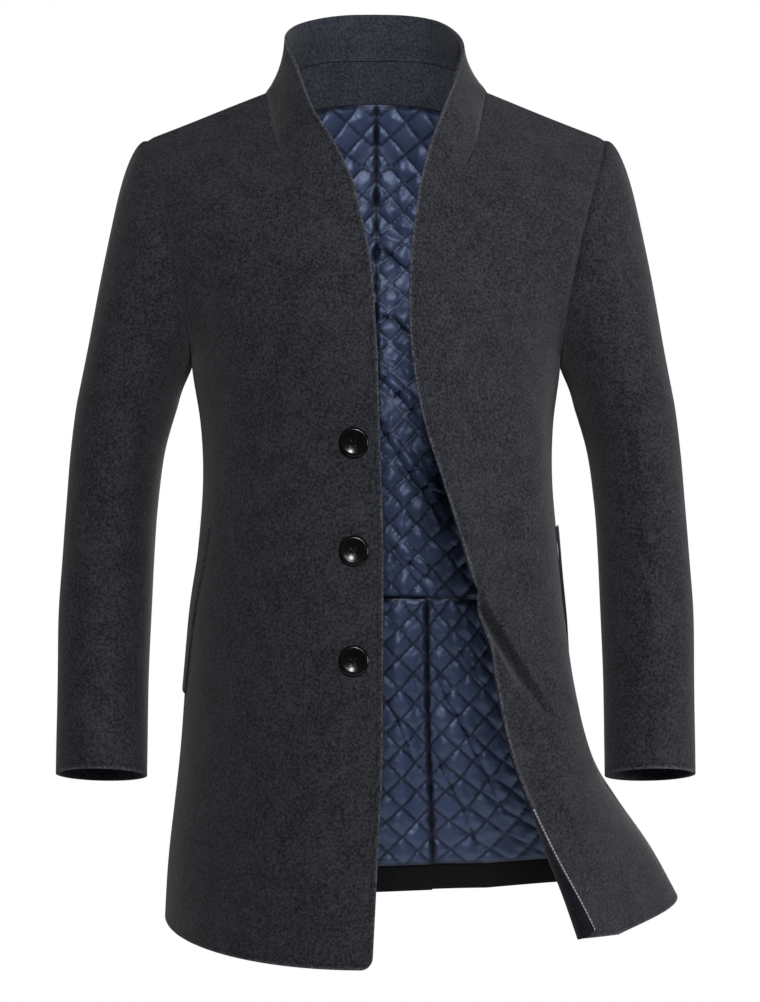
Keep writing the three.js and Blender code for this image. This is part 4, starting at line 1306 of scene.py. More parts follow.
# Pale thread laid as an unbroken line along the left front's turned edge: a painted highlight where
# the edge catches the light.
EDGE_HIGHLIGHT_THREAD = Dye("pale_edge_thread", "wool", 0x9A9AA2, 0xC8C8D0)


def linear(colour: int) -> tuple[float, float, float, float]:
    """A hex sRGB colour as linear light.

    Args:
        colour: the hex number.

    Returns:
        Red, green, blue and alpha.
    """

    def channel(value: int) -> float:
        """One sRGB channel, 0 to 255, as linear light."""
        share = value / 255
        return share / 12.92 if share <= 0.04045 else ((share + 0.055) / 1.055) ** 2.4

    return (*(channel((colour >> shift) & 255) for shift in (16, 8, 0)), 1.0)


class Surface:
    """A node material under construction."""

    def __init__(self, dye: Dye) -> None:
        """Starts a material with a principled shader.

        Args:
            dye: the finish that it is made for.
        """
        self.material = bpy.data.materials.new(dye.name)
        self.material.use_nodes = True
        self.tree = self.material.node_tree
        self.tree.nodes.clear()
        self.output = self.node("ShaderNodeOutputMaterial")
        self.shader = self.node("ShaderNodeBsdfPrincipled")
        self.link(self.shader, "BSDF", self.output, "Surface")

    def node(self, kind: str, **settings: object) -> bpy.types.Node:
        """Adds a node and sets its properties, and its sockets by their names.

        Args:
            kind: the node's type.
            settings: properties, or sockets with _ for a space.

        Returns:
            The node.
        """
        made = self.tree.nodes.new(kind)
        for key, value in settings.items():
            if hasattr(made, key):
                setattr(made, key, value)
            else:
                made.inputs[key.replace("_", " ")].default_value = value
        return made

    def link(
        self, source: bpy.types.Node, out: str | int, target: bpy.types.Node, into: str | int
    ) -> None:
        """Joins one node's output to another's input."""
        self.tree.links.new(source.outputs[out], target.inputs[into])

    def noise(
        self, source: bpy.types.Node, out: str, per_metre: float, detail: float
    ) -> bpy.types.Node:
        """Adds a noise texture at a scale per metre, over some coordinates."""
        made = self.node("ShaderNodeTexNoise", Scale=per_metre, Detail=detail, Roughness=0.6)
        self.link(source, out, made, "Vector")
        return made

    def ramp(self, stops: Sequence[tuple[float, float]]) -> bpy.types.Node:
        """Adds a ramp of grey values through (place, value) stops.

        Args:
            stops: the places and grey values.

        Returns:
            The ramp.
        """
        made = self.node("ShaderNodeValToRGB")
        elements = made.color_ramp.elements
        while len(elements) < len(stops):
            elements.new(0.5)
        for element, (place, value) in zip(elements, stops):
            element.position = place
            element.color = (value, value, value, 1.0)
        return made

    def bump(self, height: bpy.types.Node, out: str, distance: float, strength: float) -> None:
        """Adds a bump of a height in metres, over any that the surface already has.

        Args:
            height: the node that gives the height.
            out: its output.
            distance: the height's scale in metres.
            strength: how much it counts.
        """
        made = self.node("ShaderNodeBump", Distance=distance, Strength=strength)
        self.link(height, out, made, "Height")
        before = self.shader.inputs["Normal"]
        if before.is_linked:
            self.tree.links.new(before.links[0].from_socket, made.inputs["Normal"])
        self.link(made, "Normal", self.shader, "Normal")


# The painted light along a free edge, against nearness to it: a line of painted shade about 5 mm
# in, where the edge is sewn, then a painted highlight at the rim. The gain below times 0.4 is the
# cloth's own tone.
EDGE_LIGHT_TONES = ((0.50, 0.40), (0.58, 0.28), (0.66, 0.40), (0.80, 0.43), (0.92, 0.95))
EDGE_LIGHT_GAIN = 2.5


def wool_material(dye: Dye) -> bpy.types.Material:
    """Napped melange wool: light and dark flecks, slow mottling and a rough nap.

    Milled and brushed, so it is matt with a faint sheen at grazing angles. A real fleck is about
    0.3 mm. It is drawn 2.3 mm wide (430 to the metre) to show at all in the render. The mottling
    is 22 mm, the nap 0.9 mm and its slight lumps 8 mm. The edge attribute paints light into the
    colour: a painted shade line near free edges, back seams and vents, and a painted highlight at
    the rims and along the left neck dart.

    Args:
        dye: the cloth's name and colours.

    Returns:
        The material.
    """
    surface = Surface(dye)
    surface.shader.inputs["Roughness"].default_value = 0.92
    surface.shader.inputs["Specular IOR Level"].default_value = 0.2
    surface.shader.inputs["Sheen Weight"].default_value = 0.12
    surface.shader.inputs["Sheen Roughness"].default_value = 0.5
    place = surface.node("ShaderNodeTexCoord")
    flecks = surface.noise(place, "Object", 430, 4)
    mottle = surface.noise(place, "Object", 45, 2)
    ramp = surface.node("ShaderNodeValToRGB")
    ramp.color_ramp.elements[0].position = 0.38
    ramp.color_ramp.elements[0].color = linear(dye.dark)
    ramp.color_ramp.elements[1].position = 0.65
    ramp.color_ramp.elements[1].color = linear(dye.light)
    mixed = surface.node("ShaderNodeMath", operation="MULTIPLY_ADD")
    mixed.inputs[1].default_value = 0.22
    surface.link(mottle, "Fac", mixed, 0)
    offset = surface.node("ShaderNodeMath", operation="SUBTRACT")
    offset.inputs[1].default_value = 0.11
    surface.link(flecks, "Fac", offset, 0)
    surface.link(offset, "Value", mixed, 2)
    surface.link(mixed, "Value", ramp, "Fac")
    # Painted shade and highlight along edges, seams and the left dart, read from the edge
    # attribute.
    edge = surface.node("ShaderNodeAttribute", attribute_name="edge")
    edge_light_ramp = surface.ramp(EDGE_LIGHT_TONES)
    surface.link(edge, "Fac", edge_light_ramp, "Fac")
    strength = surface.node("ShaderNodeMath", operation="MULTIPLY")
    strength.inputs[1].default_value = EDGE_LIGHT_GAIN
    surface.link(edge_light_ramp, "Color", strength, 0)
    edge_lit_colour = surface.node("ShaderNodeHueSaturation")
    surface.link(strength, "Value", edge_lit_colour, "Value")
    surface.link(ramp, "Color", edge_lit_colour, "Color")
    surface.link(edge_lit_colour, "Color", surface.shader, "Base Color")
    surface.bump(edge_light_ramp, "Color", 0.001, 0.6)
    nap = surface.noise(place, "Object", 1100, 2)
    surface.bump(nap, "Fac", 0.0005, 0.5)
    surface.bump(surface.noise(place, "Object", 130, 3), "Fac", 0.0012, 0.35)
    return surface.material


def satin_material(dye: Dye) -> bpy.types.Material:
    """Quilted polyester satin, woven smooth: a soft blue sheen, wrinkles and sunken seams with
    painted shade.

    The bumps are puckers of 25 mm, wrinkles of 7 mm and a weave drawn at 1.7 mm, because the
    real thread spacing of 0.1 mm is too fine to show.

    Args:
        dye: the satin's name and colours.

    Returns:
        The material.
    """
    surface = Surface(dye)
    surface.shader.inputs["Roughness"].default_value = 0.46
    surface.shader.inputs["Specular IOR Level"].default_value = 1.0
    surface.shader.inputs["Specular Tint"].default_value = linear(0xB4C2E8)
    surface.shader.inputs["Sheen Weight"].default_value = 0.1
    surface.shader.inputs["Sheen Tint"].default_value = linear(0xB4C2E8)
    uv = surface.node("ShaderNodeUVMap", uv_map="cloth")
    stitch = surface.node("ShaderNodeAttribute", attribute_name="stitch")
    # Painted shade from the lining's attribute: near black in the deepest valleys, seams and fold
    # feet, up to the satin's own colours.
    ramp = surface.node("ShaderNodeValToRGB")
    elements = ramp.color_ramp.elements
    elements.new(0.2)
    elements.new(0.3)
    shades = ((0.0, 0x04050A), (0.2, 0x0B0F1C), (0.3, dye.dark), (0.52, dye.light))
    for element, (place, colour) in zip(elements, shades):
        element.position = place
        element.color = linear(colour)
    surface.link(stitch, "Fac", ramp, "Fac")
    surface.link(ramp, "Color", surface.shader, "Base Color")
    surface.bump(surface.noise(uv, "UV", 40, 1), "Fac", 0.008, 0.35)
    surface.bump(surface.noise(uv, "UV", 140, 2), "Fac", 0.002, 0.2)
    surface.bump(surface.noise(uv, "UV", 600, 1), "Fac", 0.0003, 0.2)
    return surface.material


def thread_material(dye: Dye) -> bpy.types.Material:
    """Twisted sewing thread, a little lighter on the crown of each ply, drawn at 0.6 mm.

    Args:
        dye: the thread's name and colours.

    Returns:
        The material.
    """
    surface = Surface(dye)
    surface.shader.inputs["Roughness"].default_value = 0.6
    place = surface.node("ShaderNodeTexCoord")
    plies = surface.noise(place, "Object", 1600, 2)
    ramp = surface.node("ShaderNodeValToRGB")
    ramp.color_ramp.elements[0].color = linear(dye.dark)
    ramp.color_ramp.elements[1].color = linear(dye.light)
    surface.link(plies, "Fac", ramp, "Fac")
    surface.link(ramp, "Color", surface.shader, "Base Color")
    surface.bump(plies, "Fac", 0.0002, 0.5)
    return surface.material


def horn_material(dye: Dye) -> bpy.types.Material:
    """Cast and polished horn-like resin with a glossy face and a faint 6 mm cloudy figure.

    Args:
        dye: the resin's name and colours.

    Returns:
        The material.
    """
    surface = Surface(dye)
    surface.shader.inputs["Roughness"].default_value = 0.2
    surface.shader.inputs["Specular IOR Level"].default_value = 0.3
    place = surface.node("ShaderNodeTexCoord")
    figure = surface.noise(place, "Object", 160, 3)
    ramp = surface.node("ShaderNodeValToRGB")
    ramp.color_ramp.elements[0].color = linear(dye.dark)
    ramp.color_ramp.elements[1].color = linear(dye.light)
    surface.link(figure, "Fac", ramp, "Fac")
    surface.link(ramp, "Color", surface.shader, "Base Color")
    return surface.material


def mesh_object(name: str, form: Form, material: bpy.types.Material) -> bpy.types.Object:
    """Makes a shaded object from a form in millimetres.

    Args:
        name: the object's name.
        form: its shape and flat coordinates.
        material: its finish.

    Returns:
        The object, in the scene.
    """
    points = form.points * MM
    faces = form.faces
    corner = np.array([[face[0], face[1], face[2]] for face in faces])
    a, b, c = (points[corner[:, k]] for k in range(3))
    if float((a * np.cross(b, c)).sum()) < 0:
        faces = [face[::-1] for face in faces]
    mesh = bpy.data.meshes.new(name)
    mesh.from_pydata(points.tolist(), [], faces)
    loops = np.zeros(len(mesh.loops), int)
    mesh.loops.foreach_get("vertex_index", loops)
    layer = mesh.uv_layers.new(name="cloth")
    layer.data.foreach_set("uv", (form.flat[loops] * MM).astype(np.float32).ravel())
    for key, value in form.values.items():
        attribute = mesh.attributes.new(key, "FLOAT", "POINT")
        attribute.data.foreach_set("value", value.astype(np.float32))
    mesh.polygons.foreach_set("use_smooth", np.ones(len(mesh.polygons), bool))
    mesh.materials.append(material)
    mesh.update()
    made = bpy.data.objects.new(name, mesh)
    bpy.context.scene.collection.objects.link(made)
    return made


def rounded(made: bpy.types.Object, width: float) -> bpy.types.Object:
    """Rounds an object's rims over a width in millimetres, in its own mesh.

    Args:
        made: the object.
        width: the width of the rounding.

    Returns:
        The same object.
    """
    bevel = made.modifiers.new("rims", "BEVEL")
    bevel.width = width * MM
    bevel.segments = 2
    bevel.limit_method = "ANGLE"
    bevel.angle_limit = math.radians(62)
    bevel.use_clamp_overlap = True
    shown = made.evaluated_get(bpy.context.evaluated_depsgraph_get())
    rounded_mesh = bpy.data.meshes.new_from_object(shown)
    made.modifiers.clear()
    made.data = rounded_mesh
    return made


@dataclass(frozen=True)
class Cut:
    """A piece's flat cut: its greatest width and length in metres, and its area."""

    width: float
    length: float
    area: float


def cut_of(sheet: Sheet, length: float | None = None) -> Cut:
    """The cut of a piece of cloth, measured over its rows, its columns and its faces.

    Args:
        sheet: the piece.
        length: its length in millimetres, where it isn't that of its longest column.

    Returns:
        The cut, in metres and square metres.
    """
    wide, long = sheet.flat.max(0)
    long = long if length is None else length
    area = min(sheet.area() * MM * MM, 0.99 * wide * long * MM * MM)
    return Cut(round(wide * MM, 3), round(long * MM, 3), round(area, 4))


def dress(
    made: bpy.types.Object,
    node: str,
    cut: Cut | None = None,
) -> None:
    """Puts a piece in its CAD node's place.

    Args:
        made: the piece.
        node: the CAD node that it replaces.
        cut: its flat cut, where it is cloth; not used.
    """
    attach(made, "root")
    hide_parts(node)
    LOG.info("%s: %d faces in the place of %s", made.name, len(made.data.polygons), node)


@dataclass(frozen=True)
class StitchSize:
    """A row of stitches in millimetres: from one to the next, and one's length and width."""

    pitch: float
    length: float
    width: float
    seed: int = 7


QUILT_STITCH = StitchSize(4.2, 3.2, 0.55)
EDGE_STITCH = StitchSize(3.2, 3.3, 1.5)
STITCH_SCALES = (0.85, 1.1)


class StitchTree:
    """The node tree that sets a stitch at every step along an object's open lines."""

    def __init__(self) -> None:
        """Builds the tree and its named inputs."""
        self.tree = bpy.data.node_groups.new("stitches", "GeometryNodeTree")
        face = self.tree.interface
        face.new_socket("Geometry", in_out="INPUT", socket_type="NodeSocketGeometry")
        self.keys = {}
        for name in ("Pitch", "Length", "Width"):
            socket = face.new_socket(name, in_out="INPUT", socket_type="NodeSocketFloat")
            self.keys[name] = socket.identifier
        seed = face.new_socket("Seed", in_out="INPUT", socket_type="NodeSocketInt")
        thread = face.new_socket("Thread", in_out="INPUT", socket_type="NodeSocketMaterial")
        self.keys["Seed"], self.keys["Thread"] = seed.identifier, thread.identifier
        face.new_socket("Geometry", in_out="OUTPUT", socket_type="NodeSocketGeometry")
        self.lay()

    def node(self, kind: str) -> bpy.types.Node:
        """Adds a node."""
        return self.tree.nodes.new(kind)

    def lay(self) -> None:
        """Lays the nodes out and links them."""
        link = self.tree.links.new
        given, out = self.node("NodeGroupInput"), self.node("NodeGroupOutput")
        curve, steps = self.node("GeometryNodeMeshToCurve"), self.node("GeometryNodeResampleCurve")
        steps.mode = "LENGTH"
        link(given.outputs["Geometry"], curve.inputs["Mesh"])
        link(curve.outputs["Curve"], steps.inputs["Curve"])
        link(given.outputs["Pitch"], steps.inputs["Length"])
        bead, shaped = self.node("GeometryNodeMeshIcoSphere"), self.node("GeometryNodeTransform")
        bead.inputs["Radius"].default_value = 0.5
        bead.inputs["Subdivisions"].default_value = 1
        scale = self.node("ShaderNodeCombineXYZ")
        link(given.outputs["Width"], scale.inputs["X"])
        link(given.outputs["Width"], scale.inputs["Y"])
        link(given.outputs["Length"], scale.inputs["Z"])
        link(bead.outputs["Mesh"], shaped.inputs["Geometry"])
        link(scale.outputs["Vector"], shaped.inputs["Scale"])
        tangent = self.node("GeometryNodeInputTangent")
        turned = self.node("FunctionNodeAlignRotationToVector")
        turned.axis = "Z"
        link(tangent.outputs["Tangent"], turned.inputs["Vector"])
        uneven = self.node("FunctionNodeRandomValue")
        uneven.data_type = "FLOAT"
        shown = [socket for socket in uneven.inputs if socket.enabled]
        low, high = (socket for socket in shown if socket.name in ("Min", "Max"))
        low.default_value, high.default_value = STITCH_SCALES
        link(given.outputs["Seed"], uneven.inputs["Seed"])
        laid = self.node("GeometryNodeInstanceOnPoints")
        link(steps.outputs["Curve"], laid.inputs["Points"])
        link(shaped.outputs["Geometry"], laid.inputs["Instance"])
        link(turned.outputs["Rotation"], laid.inputs["Rotation"])
        amount = next(socket for socket in uneven.outputs if socket.enabled)
        link(amount, laid.inputs["Scale"])
        real, dyed = self.node("GeometryNodeRealizeInstances"), self.node("GeometryNodeSetMaterial")
        link(laid.outputs["Instances"], real.inputs["Geometry"])
        link(real.outputs["Geometry"], dyed.inputs["Geometry"])
        link(given.outputs["Thread"], dyed.inputs["Material"])
        link(dyed.outputs["Geometry"], out.inputs["Geometry"])

    def sewn(
        self,
        name: str,
        lines: Sequence[np.ndarray],
        size: StitchSize,
        thread: bpy.types.Material,
        slot: str,
    ) -> bpy.types.Object:
        """Sews a row of stitches along lines of places in millimetres.

        Args:
            name: the new object's name.
            lines: the lines, each (n, 3).
            size: the stitches' sizes.
            thread: the thread's material.
            slot: the thread's slot in the record; not used.

        Returns:
            One object with all of the stitches, on the body.
        """
        edges, start = [], 0
        for line in lines:
            edges += [(start + k, start + k + 1) for k in range(len(line) - 1)]
            start += len(line)
        mesh = bpy.data.meshes.new(name)
        mesh.from_pydata((np.concatenate(lines) * MM).tolist(), edges, [])
        made = bpy.data.objects.new(name, mesh)
        bpy.context.scene.collection.objects.link(made)
        sewing = made.modifiers.new("stitches", "NODES")
        sewing.node_group = self.tree
        sewing[self.keys["Pitch"]] = size.pitch * MM
        sewing[self.keys["Length"]] = size.length * MM
        sewing[self.keys["Width"]] = size.width * MM
        sewing[self.keys["Seed"]] = size.seed
        sewing[self.keys["Thread"]] = thread
        shown = made.evaluated_get(bpy.context.evaluated_depsgraph_get())
        plain = bpy.data.meshes.new_from_object(shown)
        made.modifiers.clear()
        made.data = plain
        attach(made, "root")
        LOG.info("%s: %d faces of stitches", name, len(plain.polygons))
        return made


@dataclass(frozen=True)
class ButtonSize:
    """A button's sizes in millimetres, and its mesh."""

    radius: float = 14.0
    thickness: float = 4.4
    rim: float = 3.6
    dish: float = 1.7
    round_over: float = 1.6
    hole: float = 1.15
    hole_out: float = 2.6
    rings: int = 44
    around: int = 96


BUTTON_PLACES = ((-20.0, -350.0), (-20.0, -450.0), (-20.0, -550.0))


@dataclass(frozen=True)
class WeltSize:
    """A pocket welt's sizes in millimetres: its middle line runs between two seam distances."""

    width: float = 26.0
    thickness: float = 2.4
    room: float = 0.5
    top: tuple[float, float] = (-432.0, 64.0)
    bottom: tuple[float, float] = (-600.0, 34.0)
    long_steps: int = 60
    wide_steps: int = 14


def grid_place(
    points: np.ndarray, normals: np.ndarray, x: float, z: float
) -> tuple[np.ndarray, np.ndarray]:
    """The place and the normal of a grid's point that is nearest to an (x, z), set exactly.

    Args:
        points: the grid's places.
        normals: their normals.
        x: the place's x.
        z: the place's z.

    Returns:
        The place and its normal.
    """
    gap = (points[..., 0] - x) ** 2 + (points[..., 2] - z) ** 2
    gap = np.where(np.isnan(gap), np.inf, gap)
    row, column = np.unravel_index(int(np.argmin(gap)), gap.shape)
    place = points[row, column].copy()
    normal = normals[row, column]
    dx, dz = x - place[0], z - place[2]
    place += [dx, -(normal[0] * dx + normal[2] * dz) / normal[1], dz]
    return place, normal


class Coat:
    """The coat's visible pieces."""

    def __init__(self) -> None:
        """Makes the shell's shapes, the finishes and the stitches."""
        self.shell = Shell()
        self.wool = wool_material(WOOL)
        # Inside wool with painted light.
        self.inside = wool_material(WOOL_INSIDE_PAINTED_LIGHT)
        self.front_facing = wool_material(FRONT_FACING)
        # Hem facing wool with painted shade.
        self.hem = wool_material(HEM_WOOL_PAINTED_SHADE)
        self.satin = satin_material(SATIN)
        self.horn = horn_material(HORN)
        self.stitches = StitchTree()

    def build(self) -> None:
        """Makes every piece and puts it in its node's place."""
        self.shell_pieces()
        self.facings()
        self.linings()
        self.welts()
        self.buttons()

    def edge_thread(self) -> bpy.types.Object:
        """Pale thread along the left front's turned lower edge, laid as a painted highlight where
        the edge catches the light.

        Returns:
            The stitches, as one mesh.
        """
        sheet = self.shell.sheets["front_left"]
        ids = self.shell.ids["front_left"][: mesh_row(2) + FINE, 0]
        line = sheet.points[ids] - sheet.normals[ids] * (0.4 * CLOTH.shell)
        away = unit(sheet.points[ids] - sheet.points[self.shell.ids["front_left"][: len(ids), 1]])
        thread = thread_material(EDGE_HIGHLIGHT_THREAD)
        return self.stitches.sewn(
            "front_left_edge_thread", [line + away * 0.5], EDGE_STITCH, thread, EDGE_HIGHLIGHT_THREAD.slot
        )

    def shell_pieces(self) -> None:
        """The fronts, backs and sleeves."""
        for name, sheet in self.shell.sheets.items():
            # The edge attribute paints shade and highlight into the wool along edges, seams and the
            # left dart.
            values = {"edge": self.shell.edge_nearness(name)}
            made = mesh_object(f"{name}_cloth", wall(sheet, CLOTH.shell, values=values), self.wool)
            width = 0.25 if name.startswith("sleeve") else 0.8
            cut = cut_of(sheet, self.shell.front_length(name))
            sewn_on = [self.edge_thread()] if name == "front_left" else []
            dress(rounded(made, width), name, cut)

    def sub_sheet(self, source: str, ids: np.ndarray, flip: bool) -> Sheet:
        """A sheet over some places of a shell piece."""
        return self.shell.sheets[source].part(ids, flip)

    def facing(self, name: str, sheet: Sheet, material: bpy.types.Material) -> None:
        """A facing inside the shell."""
        form = wall(sheet, CLOTH.facing, CLOTH.facing_depth)
        made = mesh_object(f"{name}_cloth", form, material)
        dress(rounded(made, 0.5), name, cut_of(sheet))

    def facings(self) -> None:
        """The front facings, inner collar, neck facing, hem facings and cuff facings."""
        shell, strip = self.shell, DIVISIONS.strip
        dart, rows = mesh_row(DART_ROW), mesh_row(len(ROW_STEPS))
        neck = FINE * ROW_STEPS[-1]
        collars: list[Sheet] = []
        necks: list[Sheet] = []
        for side in Side:
            name = side.label
            front, back, collar = (f"{part}_{name}" for part in ("front", "back", "collar"))
            flip = shell.flips[front]
            body = self.sub_sheet(front, shell.ids[front][: dart + 1, : strip + 1], flip)
            lapel = self.sub_sheet(front, shell.ids[collar][: rows - dart], flip)
            self.facing(f"facing_{name}", body.joined(lapel, 1), self.front_facing)
            collars.append(self.sub_sheet(front, shell.ids[collar][rows - dart - 1 :], flip))
            necks.append(
                self.sub_sheet(back, shell.ids[back][-1 - neck :, : strip + 1], not flip)
            )
            cuff = self.cuff_sheet(side)
            self.facing(f"cuff_facing_{name}", cuff, self.inside)
        self.facing("collar_inner", collars[0].joined(collars[1], 1), self.inside)
        self.facing("neck_facing", necks[0].joined(necks[1], 0), self.inside)
        right = shell.ids["back_right"][: FINE + 1]
        hem_right = self.sub_sheet("back_right", right, shell.flips["back_right"])
        lap = shell.ids["lap"][: FINE + 1]
        hem_right = hem_right.joined(self.sub_sheet("back_right", lap, True), 0)
        self.facing("hem_facing_right", hem_right, self.hem)
        left = shell.ids["back_left"][: FINE + 1, DIVISIONS.lap :]
        hem_left = self.sub_sheet("back_left", left, shell.flips["back_left"])
        self.facing("hem_facing_left", hem_left, self.hem)

    def cuff_sheet(self, side: Side) -> Sheet:
        """The facing inside a cuff, all round it.

        Args:
            side: which sleeve.

        Returns:
            The facing's sheet.
        """
        parts = []
        for part in ("under", "upper"):
            name = f"sleeve_{part}_{side.label}"
            ids = self.shell.ids[name][-1 - DIVISIONS.ring_steps :]
            parts.append(self.sub_sheet(name, ids, self.shell.flips[name]))
        return parts[0].joined(parts[1], 0)

    def linings(self) -> None:
        """The quilted lining of the back, in four pieces."""
        shell = self.shell
        vent, neck = mesh_row(VENT_ROW), FINE * ROW_STEPS[-1]
        pieces: dict[str, Lining] = {}
        places = {}
        for side in Side:
            name = f"back_{side.label}"
            sheet, ids = shell.sheets[name], shell.ids[name]
            places[side] = (sheet.points[ids], sheet.normals[ids])
            grid, normals = (part[vent : len(ids) - neck] for part in places[side])
            pieces[f"lining_upper_{side.label}"] = Lining(grid, normals, side is Side.LEFT)
        lap = DIVISIONS.lap
        right, left = places[Side.RIGHT], places[Side.LEFT]
        rows = slice(FINE, vent + 1)
        joined = [
            np.concatenate([left[k][rows, 1 : lap + 1][:, ::-1], right[k][rows]], axis=1)
            for k in (0, 1)
        ]
        columns = np.arange(joined[0].shape[1])
        sink = CLOTH.underlap * np.clip((lap + lap / 2 - columns) / (lap / 2), 0, 1)
        joined[0] = joined[0] - joined[1] * sink[None, :, None]
        pieces["lining_skirt_right"] = Lining(joined[0], joined[1], False)
        pieces["lining_skirt_left"] = Lining(left[0][rows, lap:], left[1][rows, lap:], True)
        share_normals([piece.sheet for piece in pieces.values()])
        thread = thread_material(THREAD)
        for name, piece in pieces.items():
            form = piece.form()
            made = mesh_object(f"{name}_cloth", form, self.satin)
            lines = piece.stitch_lines(form)
            sewn = self.stitches.sewn(f"{name}_stitches", lines, QUILT_STITCH, thread, THREAD.slot)
            dress(rounded(made, 0.4), name, cut_of(piece.sheet))

    def welts(self) -> None:
        """The slanted pocket welts, laid on the fronts."""
        size = WeltSize()
        for side in Side:
            name = f"front_{side.label}"
            sheet = self.shell.sheets[name]
            ids = self.shell.ids[name][: mesh_row(ARMPIT_ROW)]
            grid, normals = sheet.points[ids], sheet.normals[ids]
            heights = grid[:, -1, 2]
            lines = []
            for step in range(size.long_steps + 1):
                share = step / size.long_steps
                z = size.bottom[0] + (size.top[0] - size.bottom[0]) * share
                middle = size.bottom[1] + (size.top[1] - size.bottom[1]) * share
                row = float(np.interp(z, heights, np.arange(len(heights))))
                low = int(row)
                line = grid[low] * (1 - row + low) + grid[low + 1] * (row - low)
                facing = normals[low] * (1 - row + low) + normals[low + 1] * (row - low)
                steps = np.linalg.norm(np.diff(line, axis=0), axis=1)
                along = np.concatenate([[0], np.cumsum(steps)])
                half = size.width / 2
                ends = along[-1] - middle + np.linspace(-half, half, size.wide_steps + 1)
                both = np.concatenate([line, facing], axis=1)
                lines.append(np.stack([np.interp(ends, along, both[:, k]) for k in range(6)], 1))
            strip = np.array(lines)
            welt = Sheet()
            welt.add(strip[..., :3], self.shell.flips[name], normals=unit(strip[..., 3:]))
            form = wall(welt, size.thickness, -(size.room + size.thickness))
            made = mesh_object(f"pocket_welt_{side.label}_cloth", form, self.wool)
            dress(rounded(made, 1.0), f"pocket_welt_{side.label}", cut_of(welt))

    def buttons(self) -> None:
        """The three buttons on the right front."""
        sheet = self.shell.sheets["front_right"]
        ids = self.shell.ids["front_right"][: mesh_row(DART_ROW)]
        grid = sheet.points[ids]
        normals = sheet.normals[ids]
        for number, (x, z) in enumerate(BUTTON_PLACES, start=1):
            place, normal = grid_place(grid, normals, x, z)
            form = button_form(ButtonSize(), place, normal)
            made = mesh_object(f"button_{number}_horn", form, self.horn)
            dress(made, f"button_{number}")


def button_form(size: ButtonSize, place: np.ndarray, normal: np.ndarray) -> Form:
    """A four-hole button with a raised rim, set on a place and facing along its normal.

    Args:
        size: the button's sizes.
        place: where it sits.
        normal: the way it faces.

    Returns:
        The button's closed form.
    """
    turns = np.arange(size.around) / size.around * math.tau
    shares = np.linspace(0, 1, size.rings + 1)[1:]
    radii = size.radius * shares
    bowl = np.clip(radii / (size.radius - size.rim), 0, 1) ** 2
    crest = (radii - (size.radius - size.rim)) / size.rim
    fall = np.where(crest > 0, size.round_over * np.abs(2 * crest - 0.5) ** 2.2 / 2.4, 0.0)
    height = size.thickness - size.dish * (1 - bowl) - fall
    x = radii[:, None] * np.cos(turns)
    y = radii[:, None] * np.sin(turns)
    z = np.broadcast_to(height[:, None], x.shape).copy()
    for sign_x in (-1, 1):
        for sign_y in (-1, 1):
            gap = np.hypot(x - sign_x * size.hole_out, y - sign_y * size.hole_out)
            z -= 2.0 * (1 - smoothstep(size.hole - 0.35, size.hole + 0.1, gap))
    top = np.stack([x, y, z], -1).reshape(-1, 3)
    under = [(size.radius, 1.4), (size.radius - 0.5, 0.4), (size.radius - 2, 0.0)]
    lower = np.array(
        [[r * math.cos(t), r * math.sin(t), h] for r, h in under for t in turns]
    )
    points = np.concatenate([top, lower, [[0, 0, height[0]], [0, 0, 0]]])
    count = size.around
    rings = size.rings + len(under)
    faces = []
    for ring in range(rings - 1):
        for k in range(count):
            following = (k + 1) % count
            a, b = ring * count + k, ring * count + following
            faces.append([a, b, b + count, a + count])
    centre, base = len(points) - 2, len(points) - 1
    last = (rings - 1) * count
    for k in range(count):
        following = (k + 1) % count
        faces.append([centre, following, k])
        faces.append([base, last + k, last + following])
    faces[: (rings - 1) * count] = [face[::-1] for face in faces[: (rings - 1) * count]]
    up = unit(normal)
    side = unit(np.cross([0.0, 0.0, 1.0], up))
    turned = np.stack([side, np.cross(up, side), up])
    placed = points @ turned + place + up * 0.5
    return Form(placed, faces, points[:, :2])


@dataclass(frozen=True)
class Lamp:
    """A soft area light: where it is and what it lights, its size in metres, and its power."""

    name: str
    at: Point
    aim: Point
    size: float
    power: float


LAMPS = (
    Lamp("key_softbox", (0.66, -1.9, 0.62), (0.0, 0.0, -0.3), 0.5, 6.5),
    Lamp("front_softbox", (-0.01, -1.9, 0.52), (0.0, 0.0, -0.3), 0.34, 25.0),
    Lamp("side_softbox", (2.2, -0.7, -0.45), (0.0, 0.0, -0.5), 0.9, 24.0),
    Lamp("back_softbox", (0.25, 2.4, 0.5), (0.0, 0.0, -0.4), 1.1, 52.0),
)


@dataclass(frozen=True)
class View:
    """The camera: its place in metres, its lens and its shift up the frame."""

    at: Point = (0.004, -1.7, -0.348)
    lens: float = 61.08
    shift: float = -61 / 1002


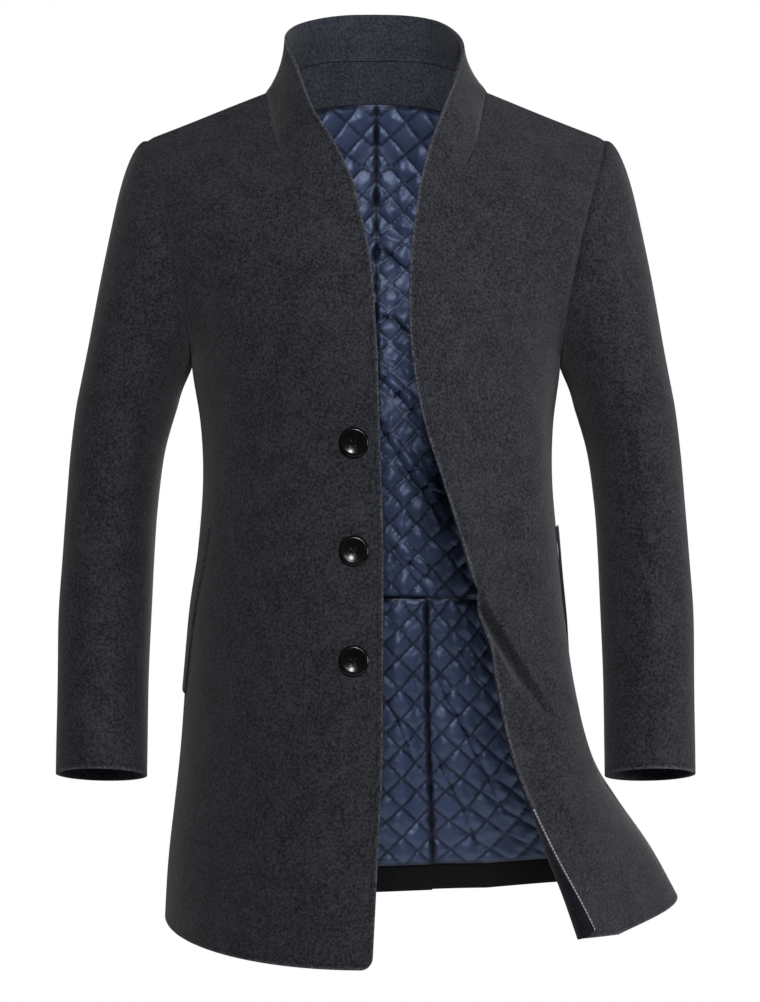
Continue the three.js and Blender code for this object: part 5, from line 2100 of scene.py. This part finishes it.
class Studio:
    """The floor, the light and the camera."""

    def build(self) -> None:
        """Makes the studio around the coat."""
        self.floor()
        for lamp in LAMPS:
            self.lamp(lamp)
        self.world()
        self.camera(View())
        bpy.context.scene.view_settings.view_transform = "Standard"

    def floor(self) -> None:
        """A plain pale floor, well below the hanging coat."""
        mesh = bpy.data.meshes.new("floor")
        radius, z, count = 0.8, -1.25, 96
        turns = [math.tau * k / count for k in range(count)]
        rim = [(radius * math.cos(turn), radius * math.sin(turn), z) for turn in turns]
        mesh.from_pydata(rim, [], [tuple(range(count))])
        surface = Surface(Dye("pale_floor_paint", "", 0xF4F4F4, 0xF4F4F4))
        surface.shader.inputs["Base Color"].default_value = linear(0xF4F4F4)
        surface.shader.inputs["Roughness"].default_value = 0.9
        mesh.materials.append(surface.material)
        made = bpy.data.objects.new("floor", mesh)
        bpy.context.scene.collection.objects.link(made)

    def lamp(self, lamp: Lamp) -> None:
        """One soft light, turned to what it lights.

        Args:
            lamp: the light.
        """
        data = bpy.data.lights.new(lamp.name, "AREA")
        data.shape = "SQUARE"
        data.size = lamp.size
        data.energy = lamp.power
        made = bpy.data.objects.new(lamp.name, data)
        made.location = lamp.at
        aim = Vector(lamp.aim) - Vector(lamp.at)
        made.rotation_euler = aim.to_track_quat("-Z", "Y").to_euler()
        bpy.context.scene.collection.objects.link(made)

    def world(self) -> None:
        """An even white surround."""
        world = bpy.data.worlds.new("studio")
        world.use_nodes = True
        tree = world.node_tree
        room = tree.nodes["Background"]
        room.inputs["Color"].default_value = (1.0, 1.0, 1.0, 1.0)
        room.inputs["Strength"].default_value = 0.055
        backdrop = tree.nodes.new("ShaderNodeBackground")
        backdrop.inputs["Color"].default_value = (1.0, 1.0, 1.0, 1.0)
        shown = tree.nodes.new("ShaderNodeLightPath")
        either = tree.nodes.new("ShaderNodeMixShader")
        tree.links.new(shown.outputs["Is Camera Ray"], either.inputs["Fac"])
        tree.links.new(room.outputs["Background"], either.inputs[1])
        tree.links.new(backdrop.outputs["Background"], either.inputs[2])
        tree.links.new(either.outputs["Shader"], tree.nodes["World Output"].inputs["Surface"])
        bpy.context.scene.world = world

    def camera(self, view: View) -> None:
        """A level camera in front of the coat.

        Args:
            view: the camera's place and lens.
        """
        data = bpy.data.cameras.new("camera")
        data.lens = view.lens
        data.sensor_width = 36.0
        data.shift_y = view.shift
        made = bpy.data.objects.new("camera", data)
        made.location = view.at
        made.rotation_euler = (math.pi / 2, 0.0, 0.0)
        bpy.context.scene.collection.objects.link(made)
        bpy.context.scene.camera = made


def main() -> None:
    """Builds the dressed coat, its floor, lights and camera."""
    logging.basicConfig(level=logging.INFO, format="%(message)s")
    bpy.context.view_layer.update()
    Coat().build()
    Studio().build()


if __name__ == "__main__":
    main()
